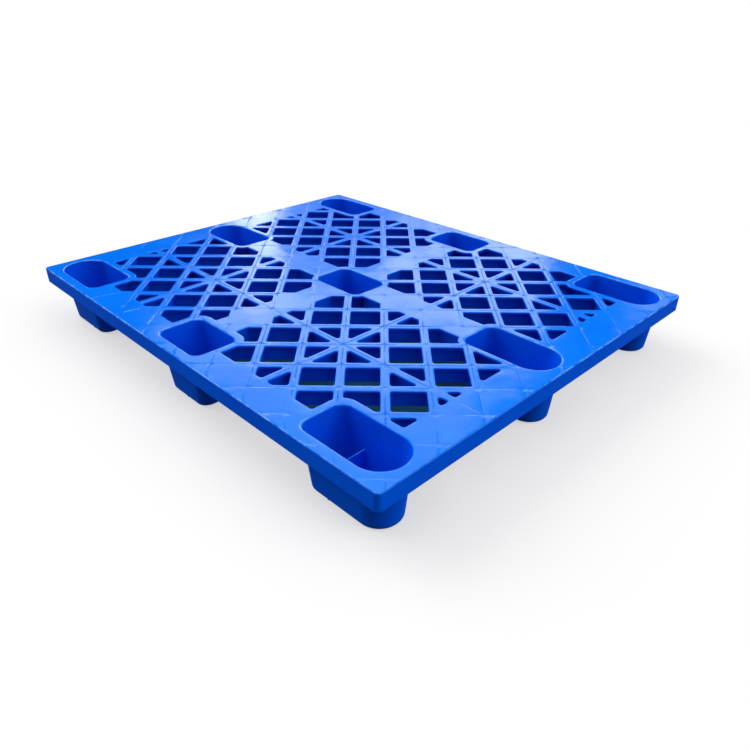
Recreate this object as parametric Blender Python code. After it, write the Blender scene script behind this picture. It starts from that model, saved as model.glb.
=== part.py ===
"""Nestable nine-leg plastic pallet: a ribbed lattice deck on hollow tapered legs.

The moulding is modelled as its own regions: nine legs, four lattice panels, eight lengths of edge rail with
the skirt, and the four arms of the centre cross. Metres, +Z up, the feet on Z = 0, +X along the long side.
"""

from math import ceil, cos, floor, pi, radians, sin, sqrt, tan

import bmesh
import bpy
from mathutils import Matrix, Vector

# Overall size
LENGTH = 1.200
WIDTH = 1.000
HEIGHT = 0.130
CORNER_R = 0.014
TOP_EDGE_R = 0.003
SEAM = 0.0003

# Deck plate, ribs and skirt
DECK_T = 0.0042
RIB_T = 0.0032
RIB_DEPTH = 0.036
SKIRT_T = 0.0038

# Diagonal lattice: its crossings lie every half pitch in X and in Y, and a hub sits four half pitches out
HALF_PITCH = 0.05825
HUB_STEP = 4
BAR_W = 0.018
AXIS_BAR_W = 0.017
OPEN_X = (0.037, 0.513)
OPEN_Y = (0.041, 0.4275)
PANEL_X = (0.028, 0.529)
PANEL_Y = (0.032, 0.439)
SMALLEST_OPENING = 0.00022
SMALLEST_POCKET = 0.00004

# Legs: mouth outlines at deck level
LEG_ROW_Y = 0.424
LEG_WIDTH = 0.113
END_LEG_X = (0.3805, 0.5835)
MIDDLE_LEG_X = (-0.0785, 0.0785)
LEG_CORNER_R = 0.0215

# Legs: walls, rim, foot and cross web
RIM_W = 0.0065
RIM_R = 0.005
FLANGE_W = 0.006
MIDDLE_COLLAR_W = 0.008
OUTER_COLLAR_W = 0.0125
LEG_WALL = 0.0032
SHOULDER = 0.004
SHOULDER_DEPTH = 0.009
SHOULDER_OVERLAP = 0.0005
LEG_DRAFT = tan(radians(5.0))
FOOT_R = 0.010
FLOOR_T = 0.004
WEB_T = 0.003
WEB_TOP_DEPTH = 0.066
END_WEB_X = 0.447
DRAIN_R = 0.006
DRAIN_OFFSET = 0.030

# Facets
END_ARC_STEPS = 8
CORNER_ARC_STEPS = 2
ROUNDING_STEPS = 2
DRAIN_SIDES = 8
SHARP_ANGLE = radians(30.0)

# Finish, as linear colour
PLASTIC_BLUE = (0.005, 0.145, 0.800, 1.0)
PLASTIC_ROUGHNESS = 0.35

DECK_TOP = HEIGHT
RIB_FOOT = HEIGHT - RIB_DEPTH
PLATE_UNDERSIDE = HEIGHT - DECK_T
PAST = 0.004
X_AXIS = Vector((1.0, 0.0))
Y_AXIS = Vector((0.0, 1.0))


def clear_scene():
    """Remove every object that the file starts with."""
    for old in list(bpy.data.objects):
        bpy.data.objects.remove(old)


def new_collection(name):
    """Add a collection to the scene and return it."""
    collection = bpy.data.collections.new(name)
    bpy.context.scene.collection.children.link(collection)
    return collection


def blue_plastic(name):
    """Return a satin blue polyethylene material."""
    material = bpy.data.materials.new(name)
    material.use_nodes = True
    shader = material.node_tree.nodes["Principled BSDF"]
    shader.inputs["Base Color"].default_value = PLASTIC_BLUE
    shader.inputs["Roughness"].default_value = PLASTIC_ROUGHNESS
    shader.inputs["Metallic"].default_value = 0.0
    return material


def add_tool(name, bm, collection):
    """Turn a bmesh into a wire-drawn working object that is left out of renders."""
    bmesh.ops.recalc_face_normals(bm, faces=bm.faces)
    mesh = bpy.data.meshes.new(name)
    bm.to_mesh(mesh)
    bm.free()
    tool = bpy.data.objects.new(name, mesh)
    tool.hide_render = True
    tool.display_type = "WIRE"
    collection.objects.link(tool)
    return tool


def cut(target, operation, tool):
    """Add an exact boolean of a tool to a working object."""
    modifier = target.modifiers.new(tool.name, "BOOLEAN")
    modifier.solver = "EXACT"
    modifier.operation = operation
    modifier.object = tool


def clip(polygon, origin, normal):
    """Return the part of a convex polygon on the side of a line that the normal points to."""
    kept = []
    for here, there in zip(polygon, polygon[1:] + polygon[:1]):
        a = (here - origin).dot(normal)
        b = (there - origin).dot(normal)
        if a >= 0:
            kept.append(here)
        if a * b < 0:
            kept.append(here.lerp(there, a / (a - b)))
    return kept


def clip_to_box(polygon, box):
    """Clip a convex polygon to an upright box given as low x, high x, low y, high y."""
    x0, x1, y0, y1 = box
    for origin, normal in (
        (Vector((x0, 0)), X_AXIS),
        (Vector((x1, 0)), -X_AXIS),
        (Vector((0, y0)), Y_AXIS),
        (Vector((0, y1)), -Y_AXIS),
    ):
        polygon = clip(polygon, origin, normal)
    return polygon


def area(polygon):
    """Return a polygon's area, positive when its points run anticlockwise."""
    pairs = zip(polygon, polygon[1:] + polygon[:1])
    return sum(a.x * b.y - b.x * a.y for a, b in pairs) / 2


def grow(box, margin):
    """Return a box widened by a margin on every side."""
    x0, x1, y0, y1 = box
    return (x0 - margin, x1 + margin, y0 - margin, y1 + margin)


def lattice_cells(box, half_bar, half_axis_bar):
    """Yield the squares and half squares that the lattice bars leave open around a box."""
    x0, x1, y0, y1 = (edge / HALF_PITCH for edge in box)
    reach = HALF_PITCH - half_bar * sqrt(2)
    for i in range(floor(x0), ceil(x1) + 1):
        for j in range(floor(y0), ceil(y1) + 1):
            if (i + j) % 2 == 0:
                continue
            centre = Vector((i, j)) * HALF_PITCH
            square = [centre + reach * way for way in (X_AXIS, Y_AXIS, -X_AXIS, -Y_AXIS)]
            if HUB_STEP not in (abs(i), abs(j)):
                yield square
                continue
            across = X_AXIS if abs(i) == HUB_STEP else Y_AXIS
            for way in (across, -across):
                yield clip(square, centre + half_axis_bar * way, way)


def rib_pockets(box):
    """Return the hollows between the ribs around a box, kept inside the skirt."""
    inner_x = LENGTH / 2 - SKIRT_T
    inner_y = WIDTH / 2 - SKIRT_T
    corner_line = inner_x + inner_y - CORNER_R
    pockets = []
    for cell in lattice_cells(box, RIB_T / 2, RIB_T / 2):
        pocket = clip_to_box(cell, grow(box, PAST))
        pocket = clip_to_box(pocket, (-inner_x, inner_x, -inner_y, inner_y))
        for sx in (-1, 1):
            for sy in (-1, 1):
                outward = Vector((sx, sy))
                pocket = clip(pocket, outward * corner_line / 2, -outward)
        if len(pocket) > 2 and area(pocket) > SMALLEST_POCKET:
            pockets.append(pocket)
    return pockets


def arc(centre, radius, start, end, steps):
    """Return points along an arc, its angles in degrees."""
    angles = (radians(start + (end - start) * k / steps) for k in range(steps + 1))
    return [centre + radius * Vector((cos(a), sin(a))) for a in angles]


def leg_outline(leg_x, centre_y, inset):
    """Return a leg's plan outline drawn in by an inset, half round at its outer end if it is an end leg."""
    x0 = leg_x[0] + inset
    x1 = leg_x[1] - inset
    half = LEG_WIDTH / 2 - inset
    corner = LEG_CORNER_R - min(inset, 0)
    points = []
    if leg_x == END_LEG_X:
        points += arc(Vector((x1 - half, centre_y)), half, -90, 90, END_ARC_STEPS)
    else:
        points += arc(Vector((x1 - corner, centre_y - half + corner)), corner, -90, 0, CORNER_ARC_STEPS)
        points += arc(Vector((x1 - corner, centre_y + half - corner)), corner, 0, 90, CORNER_ARC_STEPS)
    points += arc(Vector((x0 + corner, centre_y + half - corner)), corner, 90, 180, CORNER_ARC_STEPS)
    points += arc(Vector((x0 + corner, centre_y - half + corner)), corner, 180, 270, CORNER_ARC_STEPS)
    return points


def prisms(name, outlines, bottom, top, collection):
    """Extrude flat outlines into upright prisms, all in one working object."""
    bm = bmesh.new()
    for outline in outlines:
        bm.faces.new([bm.verts.new((p.x, p.y, bottom)) for p in outline])
    grown = bmesh.ops.extrude_face_region(bm, geom=bm.faces[:])
    raised = [v for v in grown["geom"] if isinstance(v, bmesh.types.BMVert)]
    bmesh.ops.translate(bm, verts=raised, vec=(0, 0, top - bottom))
    return add_tool(name, bm, collection)


def box_outline(box):
    """Return the four corners of a box, anticlockwise."""
    x0, x1, y0, y1 = box
    return [Vector((x0, y0)), Vector((x1, y0)), Vector((x1, y1)), Vector((x0, y1))]


def hollow_below(plate, pockets, collection):
    """Cut the hollows between the ribs out of a block, up to the underside of its plate."""
    tool = prisms(plate.name + "_pockets", pockets, RIB_FOOT - PAST, PLATE_UNDERSIDE, collection)
    cut(plate, "DIFFERENCE", tool)


def loft(name, sections, collection):
    """Bridge closed sections, given as outline and height from the top down, and cap both ends."""
    bm = bmesh.new()
    loops = []
    for outline, z in sections:
        ring = [bm.verts.new((p.x, p.y, z)) for p in outline]
        loops.append([bm.edges.new(pair) for pair in zip(ring, ring[1:] + ring[:1])])
        if z in (sections[0][1], sections[-1][1]):
            bm.faces.new(ring)
    for upper, lower in zip(loops, loops[1:]):
        bmesh.ops.bridge_loops(bm, edges=upper + lower)
    return add_tool(name, bm, collection)


def deck_envelope(collection):
    """Return the rounded block that trims the rails: upright corners and top edge."""
    bm = bmesh.new()
    bmesh.ops.create_cube(bm, size=1.0)
    bmesh.ops.scale(bm, verts=bm.verts, vec=(LENGTH, WIDTH, HEIGHT))
    bmesh.ops.translate(bm, verts=bm.verts, vec=(0, 0, HEIGHT / 2))
    upright = [e for e in bm.edges if abs(e.verts[0].co.z - e.verts[1].co.z) > HEIGHT / 2]
    bmesh.ops.bevel(bm, geom=upright, offset=CORNER_R, affect="EDGES", segments=2 * ROUNDING_STEPS,
                    profile=0.5, material=-1)
    rim = [e for e in bm.edges if min(v.co.z for v in e.verts) > HEIGHT - PAST]
    bmesh.ops.bevel(bm, geom=rim, offset=TOP_EDGE_R, affect="EDGES", segments=ROUNDING_STEPS,
                    profile=0.5, material=-1)
    return add_tool("deck_envelope", bm, collection)


def leg_wall_inset(depth):
    """Return how far the inner wall has drawn in from the mouth at a depth below the deck."""
    return RIM_W + LEG_DRAFT * (depth - RIM_R)


def leg_hollow(name, leg_x, centre_y, web_x, collection):
    """Return the inside of a leg: rolled rim, drafted walls, rounded floor, parted by the cross web."""
    sections = [(leg_outline(leg_x, centre_y, RIM_W - RIM_R), DECK_TOP + PAST)]
    for k in range(ROUNDING_STEPS + 1):
        turn = pi / 2 * k / ROUNDING_STEPS
        z = DECK_TOP - RIM_R * (1 - cos(turn))
        sections.append((leg_outline(leg_x, centre_y, RIM_W - RIM_R * (1 - sin(turn))), z))
    floor_r = FOOT_R - LEG_WALL
    for k in range(ROUNDING_STEPS + 1):
        turn = pi / 2 * k / ROUNDING_STEPS
        z = FLOOR_T + floor_r * (1 - sin(turn))
        inset = leg_wall_inset(HEIGHT - FLOOR_T - floor_r) + floor_r * (1 - cos(turn))
        sections.append((leg_outline(leg_x, centre_y, inset), z))
    hollow = loft(name, sections, collection)
    web_box = (web_x - WEB_T / 2, web_x + WEB_T / 2, centre_y - LEG_WIDTH, centre_y + LEG_WIDTH)
    web = prisms(name + "_web", [box_outline(web_box)], -PAST, DECK_TOP - WEB_TOP_DEPTH, collection)
    cut(hollow, "DIFFERENCE", web)
    return hollow


def leg_outside(name, leg_x, centre_y, collection):
    """Return the outside of a leg below its flange: shoulder, drafted walls and rounded foot."""
    shoulder_inset = leg_wall_inset(SHOULDER_DEPTH) - LEG_WALL
    shoulder_top = PLATE_UNDERSIDE + SHOULDER_OVERLAP
    sections = [(leg_outline(leg_x, centre_y, shoulder_inset - SHOULDER), shoulder_top)]
    sections.append((leg_outline(leg_x, centre_y, shoulder_inset), DECK_TOP - SHOULDER_DEPTH))
    for k in range(ROUNDING_STEPS + 1):
        turn = pi / 2 * k / ROUNDING_STEPS
        z = FOOT_R * (1 - sin(turn))
        inset = leg_wall_inset(HEIGHT - FOOT_R) - LEG_WALL + FOOT_R * (1 - cos(turn))
        sections.append((leg_outline(leg_x, centre_y, inset), z))
    return loft(name, sections, collection)


def drain_holes(name, web_x, centre_y, collection):
    """Return the two cutters that drain a leg on either side of its web."""
    circles = []
    for side in (-1, 1):
        centre = Vector((web_x + side * DRAIN_OFFSET, centre_y))
        circles.append(arc(centre, DRAIN_R, 0, 360, DRAIN_SIDES)[:-1])
    return prisms(name, circles, -PAST, FLOOR_T + PAST / 2, collection)


def build_leg(name, leg_x, centre_y, web_x, collection):
    """Model one leg with its deck flange, the rib stubs under the flange and its hollow."""
    flange = leg_outline(leg_x, centre_y, -FLANGE_W)
    leg = prisms(name, [flange], RIB_FOOT, DECK_TOP, collection)
    half = LEG_WIDTH / 2
    box = grow((leg_x[0], leg_x[1], centre_y - half, centre_y + half), FLANGE_W)
    hollow_below(leg, rib_pockets(box), collection)
    cut(leg, "UNION", leg_outside(name + "_outside", leg_x, centre_y, collection))
    cut(leg, "DIFFERENCE", leg_hollow(name + "_hollow", leg_x, centre_y, web_x, collection))
    cut(leg, "DIFFERENCE", drain_holes(name + "_drains", web_x, centre_y, collection))
    return leg


def leg_clearance(leg_x, centre_y, collection):
    """Return the block that parts a leg's flange from its neighbours by one seam."""
    outline = leg_outline(leg_x, centre_y, -FLANGE_W - SEAM)
    name = "clearance_{:.0f}_{:.0f}".format(leg_x[0] * 1000, centre_y * 1000)
    return prisms(name, [outline], RIB_FOOT - PAST, DECK_TOP + PAST, collection)


def grid_openings():
    """Return the lattice openings of one panel, cut back along the solid bands and the leg collars."""
    open_box = OPEN_X + OPEN_Y
    openings = []
    for cell in lattice_cells(open_box, BAR_W / 2, AXIS_BAR_W / 2):
        opening = clip_to_box(cell, open_box)
        for leg_x in (MIDDLE_LEG_X, END_LEG_X):
            for centre_y, collar_w in ((0, MIDDLE_COLLAR_W), (LEG_ROW_Y, OUTER_COLLAR_W)):
                collar = leg_outline(leg_x, centre_y, -collar_w)
                opening = cut_back(opening, collar)
        if len(opening) > 2 and area(opening) > SMALLEST_OPENING:
            openings.append(opening)
    return openings


def cut_back(opening, collar):
    """Cut an opening back from a convex collar along the one collar edge that leaves most of it."""
    best = []
    for here, there in zip(collar, collar[1:] + collar[:1]):
        along = there - here
        outward = Vector((along.y, -along.x))
        if outward.length == 0:
            continue
        kept = clip(opening, here, outward)
        if len(kept) > 2 and (not best or area(kept) > area(best)):
            best = kept
    return best


def build_grid(clearances, collection):
    """Model one lattice panel: T-section bars, a solid frame and the wall under the frame."""
    box = PANEL_X + PANEL_Y
    panel = prisms("grid", [box_outline(box)], RIB_FOOT, DECK_TOP, collection)
    inside = grow(box, -RIB_T)
    cells = (clip_to_box(cell, inside) for cell in lattice_cells(box, RIB_T / 2, RIB_T / 2))
    hollows = [cell for cell in cells if len(cell) > 2 and area(cell) > SMALLEST_POCKET]
    hollow_below(panel, hollows, collection)
    openings = prisms("grid_openings", grid_openings(), PLATE_UNDERSIDE - PAST, DECK_TOP + PAST, collection)
    cut(panel, "DIFFERENCE", openings)
    for clearance in clearances:
        cut(panel, "DIFFERENCE", clearance)
    return panel


def build_rail(name, outline, box, envelope, clearances, collection):
    """Model one length of the border: deck plate, skirt and ribs, mitred at the corner."""
    rail = prisms(name, [outline], RIB_FOOT, DECK_TOP + PAST, collection)
    cut(rail, "INTERSECT", envelope)
    hollow_below(rail, rib_pockets(box), collection)
    for clearance in clearances:
        cut(rail, "DIFFERENCE", clearance)
    return rail


def long_rail_outline():
    """Return the plan of a rail along X, from the middle of its side to the corner mitre."""
    inner_y = PANEL_Y[1] + SEAM
    outer_y = WIDTH / 2 + PAST
    mitre = LENGTH / 2 - WIDTH / 2 - SEAM / sqrt(2)
    return [
        Vector((SEAM / 2, inner_y)),
        Vector((inner_y + mitre, inner_y)),
        Vector((outer_y + mitre, outer_y)),
        Vector((SEAM / 2, outer_y)),
    ]


def short_rail_outline():
    """Return the plan of a rail along Y, from the middle of its side to the corner mitre."""
    inner_x = PANEL_X[1] + SEAM
    outer_x = LENGTH / 2 + PAST
    mitre = WIDTH / 2 - LENGTH / 2 - SEAM / sqrt(2)
    return [
        Vector((inner_x, SEAM / 2)),
        Vector((outer_x, SEAM / 2)),
        Vector((outer_x, outer_x + mitre)),
        Vector((inner_x, inner_x + mitre)),
    ]


def build_beam(name, box, collection):
    """Model one arm of the centre cross: a plain plate with the ribs crossing under it."""
    beam = prisms(name, [box_outline(box)], RIB_FOOT, DECK_TOP, collection)
    hollow_below(beam, rib_pockets(box), collection)
    return beam


def settle(template, name, mirror_x, mirror_y, parent, collection):
    """Add a finished piece: the template's evaluated mesh, mirrored to its own place on the pallet."""
    graph = bpy.context.evaluated_depsgraph_get()
    mesh = bpy.data.meshes.new_from_object(template.evaluated_get(graph))
    mesh.name = name
    mesh.transform(Matrix.Diagonal((mirror_x, mirror_y, 1, 1)))
    if mirror_x * mirror_y < 0:
        mesh.flip_normals()
    mesh.shade_smooth()
    mesh.set_sharp_from_angle(angle=SHARP_ANGLE)
    mesh.materials.clear()
    mesh.materials.append(blue_plastic(name + "_plastic"))
    piece = bpy.data.objects.new(name, mesh)
    piece.parent = parent
    collection.objects.link(piece)


def main():
    """Build the templates in the right back quarter and mirror them round the pallet."""
    clear_scene()
    pieces = new_collection("plastic_pallet")
    tools = new_collection("templates_and_cutters")
    frame = bpy.data.objects.new("pallet", None)
    pieces.objects.link(frame)

    envelope = deck_envelope(tools)
    mouths = {
        "middle_centre": (MIDDLE_LEG_X, 0.0),
        "back_centre": (MIDDLE_LEG_X, LEG_ROW_Y),
        "middle_right": (END_LEG_X, 0.0),
        "back_right": (END_LEG_X, LEG_ROW_Y),
    }
    clearance = {place: leg_clearance(*mouth, tools) for place, mouth in mouths.items()}
    web_x = {MIDDLE_LEG_X: 0.0, END_LEG_X: END_WEB_X}
    leg = {
        place: build_leg("template_leg_" + place, *mouth, web_x[mouth[0]], tools)
        for place, mouth in mouths.items()
    }
    grid = build_grid(clearance.values(), tools)

    long_outline = long_rail_outline()
    long_box = (0, LENGTH / 2, PANEL_Y[1], WIDTH / 2)
    long_rail = build_rail("template_long_rail", long_outline, long_box, envelope,
                           (clearance["back_centre"], clearance["back_right"]), tools)
    short_outline = short_rail_outline()
    short_box = (PANEL_X[1], LENGTH / 2, 0, WIDTH / 2)
    short_rail = build_rail("template_short_rail", short_outline, short_box, envelope,
                            (clearance["middle_right"], clearance["back_right"]), tools)

    beam_half_x = PANEL_X[0] - SEAM
    beam_half_y = PANEL_Y[0] - SEAM
    flange_edge_y = LEG_WIDTH / 2 + FLANGE_W + SEAM
    flange_edge_x = MIDDLE_LEG_X[1] + FLANGE_W + SEAM
    beam_back = build_beam("template_beam_back", (-beam_half_x, beam_half_x, flange_edge_y,
                                                  LEG_ROW_Y - flange_edge_y), tools)
    beam_right = build_beam("template_beam_right", (flange_edge_x, END_LEG_X[0] - FLANGE_W - SEAM,
                                                    -beam_half_y, beam_half_y), tools)
    bpy.context.view_layer.update()

    for side_x, sx in (("left", -1), ("right", 1)):
        settle(beam_right, "beam_" + side_x, sx, 1, frame, pieces)
        settle(leg["middle_right"], "leg_middle_" + side_x, sx, 1, frame, pieces)
        for side_y, sy in (("front", -1), ("back", 1)):
            settle(leg["back_right"], "leg_{}_{}".format(side_y, side_x), sx, sy, frame, pieces)
            settle(grid, "grid_{}_{}".format(side_y, side_x), sx, sy, frame, pieces)
            settle(long_rail, "rail_{}_{}".format(side_y, side_x), sx, sy, frame, pieces)
            settle(short_rail, "rail_{}_{}".format(side_x, side_y), sx, sy, frame, pieces)
    for side_y, sy in (("front", -1), ("back", 1)):
        settle(beam_back, "beam_" + side_y, 1, sy, frame, pieces)
        settle(leg["back_centre"], "leg_{}_centre".format(side_y), 1, sy, frame, pieces)
    settle(leg["middle_centre"], "leg_middle_centre", 1, 1, frame, pieces)


main()
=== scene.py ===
"""Looks of a nestable plastic pallet: moulded meshes, satin blue plastic, studio and camera.

Metres, +Z up, the feet on Z = 0, +X along the long side. The front is at -Y and the right is at +X.
"""

from __future__ import annotations

import logging
from dataclasses import dataclass
from enum import Enum
from math import ceil, cos, degrees, floor, hypot, pi, radians, sin, sqrt, tan
from typing import Any, ClassVar, Iterator, Sequence

import bmesh
import bpy
from mathutils import Matrix, Vector
from mathutils.geometry import delaunay_2d_cdt

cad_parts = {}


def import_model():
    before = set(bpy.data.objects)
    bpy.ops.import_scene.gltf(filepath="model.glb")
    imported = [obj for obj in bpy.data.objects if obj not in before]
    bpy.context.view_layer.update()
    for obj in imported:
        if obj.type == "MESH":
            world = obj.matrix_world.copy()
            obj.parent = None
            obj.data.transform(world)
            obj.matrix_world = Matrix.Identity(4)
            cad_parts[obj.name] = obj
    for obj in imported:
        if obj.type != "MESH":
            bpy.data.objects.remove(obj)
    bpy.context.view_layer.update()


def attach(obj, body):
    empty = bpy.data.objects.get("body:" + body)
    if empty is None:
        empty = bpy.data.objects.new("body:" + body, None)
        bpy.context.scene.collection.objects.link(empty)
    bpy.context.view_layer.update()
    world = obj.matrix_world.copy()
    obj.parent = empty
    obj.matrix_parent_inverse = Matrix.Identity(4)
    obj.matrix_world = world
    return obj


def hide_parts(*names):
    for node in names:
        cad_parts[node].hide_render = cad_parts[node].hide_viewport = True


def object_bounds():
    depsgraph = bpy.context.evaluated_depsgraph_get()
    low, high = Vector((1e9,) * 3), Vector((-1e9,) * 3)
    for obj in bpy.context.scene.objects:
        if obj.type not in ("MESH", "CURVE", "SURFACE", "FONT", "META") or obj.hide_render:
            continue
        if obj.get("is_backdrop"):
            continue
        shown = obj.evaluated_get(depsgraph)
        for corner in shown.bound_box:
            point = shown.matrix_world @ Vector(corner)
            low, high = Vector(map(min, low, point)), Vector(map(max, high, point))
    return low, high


LOG = logging.getLogger("pallet")
BODY = "root"
# The pale mark along rounded edges and rims: partly rubbing, partly a painted highlight.
EDGE_WEAR_AND_HIGHLIGHT = "edge_wear_and_highlight"
WELD = 1e-6
SHARP_ANGLE = radians(38.0)
DECK_SLOPE = cos(radians(60.0))
# Rim and web faces tilted less than this take the deck's lighter finish; steeper ones take the leg's
# darker one, which is painted shade.
RIM_SLOPE = cos(radians(45.0))
MICROMETRES = 1e6
ROUNDED_SHARE = 0.45  # the most of a side that one of its rounded corners takes
LEAST_ROUNDING = 0.25  # the least part of a corner's radius that is left when its outline shrinks

Outline = list[Vector]
Ring = tuple[Outline, float]
Span = tuple[float, float]
PlanPoint = tuple[float, float]
Box = tuple[float, float, float, float]
Colour = tuple[float, float, float, float]
BMesh = bmesh.types.BMesh
BMVert = bmesh.types.BMVert
BMEdge = bmesh.types.BMEdge
BMFace = bmesh.types.BMFace
Socket = bpy.types.NodeSocket

X_AXIS = Vector((1.0, 0.0))
Y_AXIS = Vector((0.0, 1.0))
WHITE: Colour = (1.0, 1.0, 1.0, 1.0)


class Zone(Enum):
    """What a plan polygon marks out in a region of the deck."""

    REGION = "the region itself"
    KEEP_OUT = "a leg's flange, which is not part of the region"
    POCKET = "a hollow between the ribs"
    HOLE = "an opening right through the plate"
    GUIDE = "a line that only splits the top for a rounded edge"


class Finish(Enum):
    """The finishes of the moulding, by where they lie."""

    # Painted light and shade: the skirt, rib and leg finishes are deeper and darker copies of the deck's
    # blue.
    DECK = "top faces, polished and rubbed by loads"
    SKIRT = "outer walls, plate edges and the legs outside, satin"
    # Painted shade: the rib and leg blues are darker, for the shade under the deck and in the cups.
    RIB = "ribs and undersides, matt and unfaded"
    LEG = "legs inside, matt and unfaded"


class Quarter(Enum):
    """The four quarters of the pallet, as the mirroring from the right back one."""

    FRONT_LEFT = (-1, -1)
    FRONT_RIGHT = (1, -1)
    BACK_LEFT = (-1, 1)
    BACK_RIGHT = (1, 1)

    @property
    def side_x(self) -> str:
        """Return left or right."""
        return "left" if self.value[0] < 0 else "right"

    @property
    def side_y(self) -> str:
        """Return front or back."""
        return "front" if self.value[1] < 0 else "back"


@dataclass(frozen=True)
class PalletSizes:
    """Driving sizes of the moulding, in metres.

    The smallest opening and pocket are areas, the hub step counts half pitches and the draft is a slope.
    """

    length: float
    width: float
    height: float
    corner_r: float = 0.0105
    edge_r: float = 0.003
    deck_t: float = 0.0042
    rib_t: float = 0.0032
    rib_depth: float = 0.036
    skirt_t: float = 0.0038
    half_pitch: float = 0.05825
    hub_step: int = 4
    bar_w: float = 0.018
    axis_bar_w: float = 0.017
    open_x: Span = (0.037, 0.513)
    open_y: Span = (0.041, 0.4275)
    panel_x: Span = (0.028, 0.529)
    panel_y: Span = (0.032, 0.439)
    smallest_opening: float = 0.00022
    smallest_pocket: float = 0.00004
    opening_r: float = 0.0045
    opening_edge_r: float = 0.0020
    leg_row_y: float = 0.424
    leg_w: float = 0.113
    end_leg_x: Span = (0.3805, 0.5835)
    middle_leg_x: Span = (-0.0785, 0.0785)
    leg_corner_r: float = 0.0215
    rim_w: float = 0.0065
    rim_r: float = 0.005
    flange_w: float = 0.006
    middle_collar_w: float = 0.008
    outer_collar_w: float = 0.0125
    leg_wall: float = 0.0032
    shoulder_r: float = 0.004
    leg_draft: float = tan(radians(5.0))
    foot_r: float = 0.010
    floor_t: float = 0.004
    web_t: float = 0.003
    web_top_depth: float = 0.066
    web_edge_r: float = 0.0012
    end_web_x: float = 0.447
    drain_r: float = 0.006
    drain_offset: float = 0.030

    @classmethod
    def from_frame(cls) -> PalletSizes:
        """Return the sizes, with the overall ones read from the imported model."""
        low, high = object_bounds()
        return cls(length=high.x - low.x, width=high.y - low.y, height=high.z - low.z)

    @property
    def plate_underside(self) -> float:
        """Return the height of the deck plate's underside."""
        return self.height - self.deck_t

    @property
    def rib_foot(self) -> float:
        """Return the height of the ribs' lower edges."""
        return self.height - self.rib_depth

    @property
    def panel_box(self) -> Box:
        """Return the plan box of the right back lattice panel, its solid frame included."""
        return self.panel_x + self.panel_y


def grow_box(box: Box, margin: float) -> Box:
    """Return a plan box widened by a margin on every side."""
    x0, x1, y0, y1 = box
    return (x0 - margin, x1 + margin, y0 - margin, y1 + margin)


def box_outline(box: Box) -> Outline:
    """Return the four corners of a plan box, anticlockwise."""
    x0, x1, y0, y1 = box
    return [Vector((x0, y0)), Vector((x1, y0)), Vector((x1, y1)), Vector((x0, y1))]


def plan_key(point: Vector) -> tuple[int, int]:
    """Return a point's place in plan as whole micrometres."""
    return (round(point.x * MICROMETRES), round(point.y * MICROMETRES))


def sides(outline: Outline) -> Iterator[tuple[Vector, Vector]]:
    """Yield the sides of a closed outline as pairs of corners."""
    return zip(outline, outline[1:] + outline[:1])


def area(outline: Outline) -> float:
    """Return an outline's area, positive when its corners run anticlockwise."""
    return sum(a.x * b.y - b.x * a.y for a, b in sides(outline)) / 2


def covers(outline: Outline, least: float) -> bool:
    """Return whether an outline is left at all and covers more than a least area."""
    return len(outline) > 2 and area(outline) > least


def quarter_turns(steps: int) -> list[float]:
    """Return the angles at which the facets of a quarter-round meet, from 0 to a right angle."""
    return [pi / 2 * k / steps for k in range(steps + 1)]


def clip(outline: Outline, origin: Vector, normal: Vector) -> Outline:
    """Keep the part of a convex outline on one side of a line.

    Args:
        outline: the convex outline.
        origin: a point on the line.
        normal: the direction, square to the line, of the side that is kept.

    Returns:
        The corners of the part that is kept, which may be none.
    """
    kept = []
    for here, there in sides(outline):
        a = (here - origin).dot(normal)
        b = (there - origin).dot(normal)
        if a >= 0:
            kept.append(here)
        if a * b < 0:
            kept.append(here.lerp(there, a / (a - b)))
    return kept


def clip_to_box(outline: Outline, box: Box) -> Outline:
    """Return the part of a convex outline inside a plan box.

    Args:
        outline: the convex outline.
        box: the plan box.

    Returns:
        The corners of the part that is kept, which may be none.
    """
    x0, x1, y0, y1 = box
    for origin, normal in (
        (Vector((x0, 0)), X_AXIS),
        (Vector((x1, 0)), -X_AXIS),
        (Vector((0, y0)), Y_AXIS),
        (Vector((0, y1)), -Y_AXIS),
    ):
        outline = clip(outline, origin, normal)
    return outline


def arc(centre: Vector, radius: float, start: float, end: float, steps: int) -> Outline:
    """Return points along an arc.

    Args:
        centre: the arc's centre.
        radius: its radius.
        start: the first point's angle in degrees.
        end: the last point's angle in degrees.
        steps: the number of chords.

    Returns:
        One point more than there are chords.
    """
    angles = (radians(start + (end - start) * k / steps) for k in range(steps + 1))
    return [centre + radius * Vector((cos(a), sin(a))) for a in angles]


def without_short_sides(outline: Outline, shortest: float) -> Outline:
    """Draw together the corners of an outline that lie too close to each other.

    Args:
        outline: the closed outline.
        shortest: the length that every side left is longer than.

    Returns:
        The corners that are left.
    """
    kept: Outline = []
    for corner in outline:
        if not kept or (corner - kept[-1]).length > shortest:
            kept.append(corner)
    while len(kept) > 2 and (kept[0] - kept[-1]).length <= shortest:
        kept.pop()
    return kept


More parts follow.
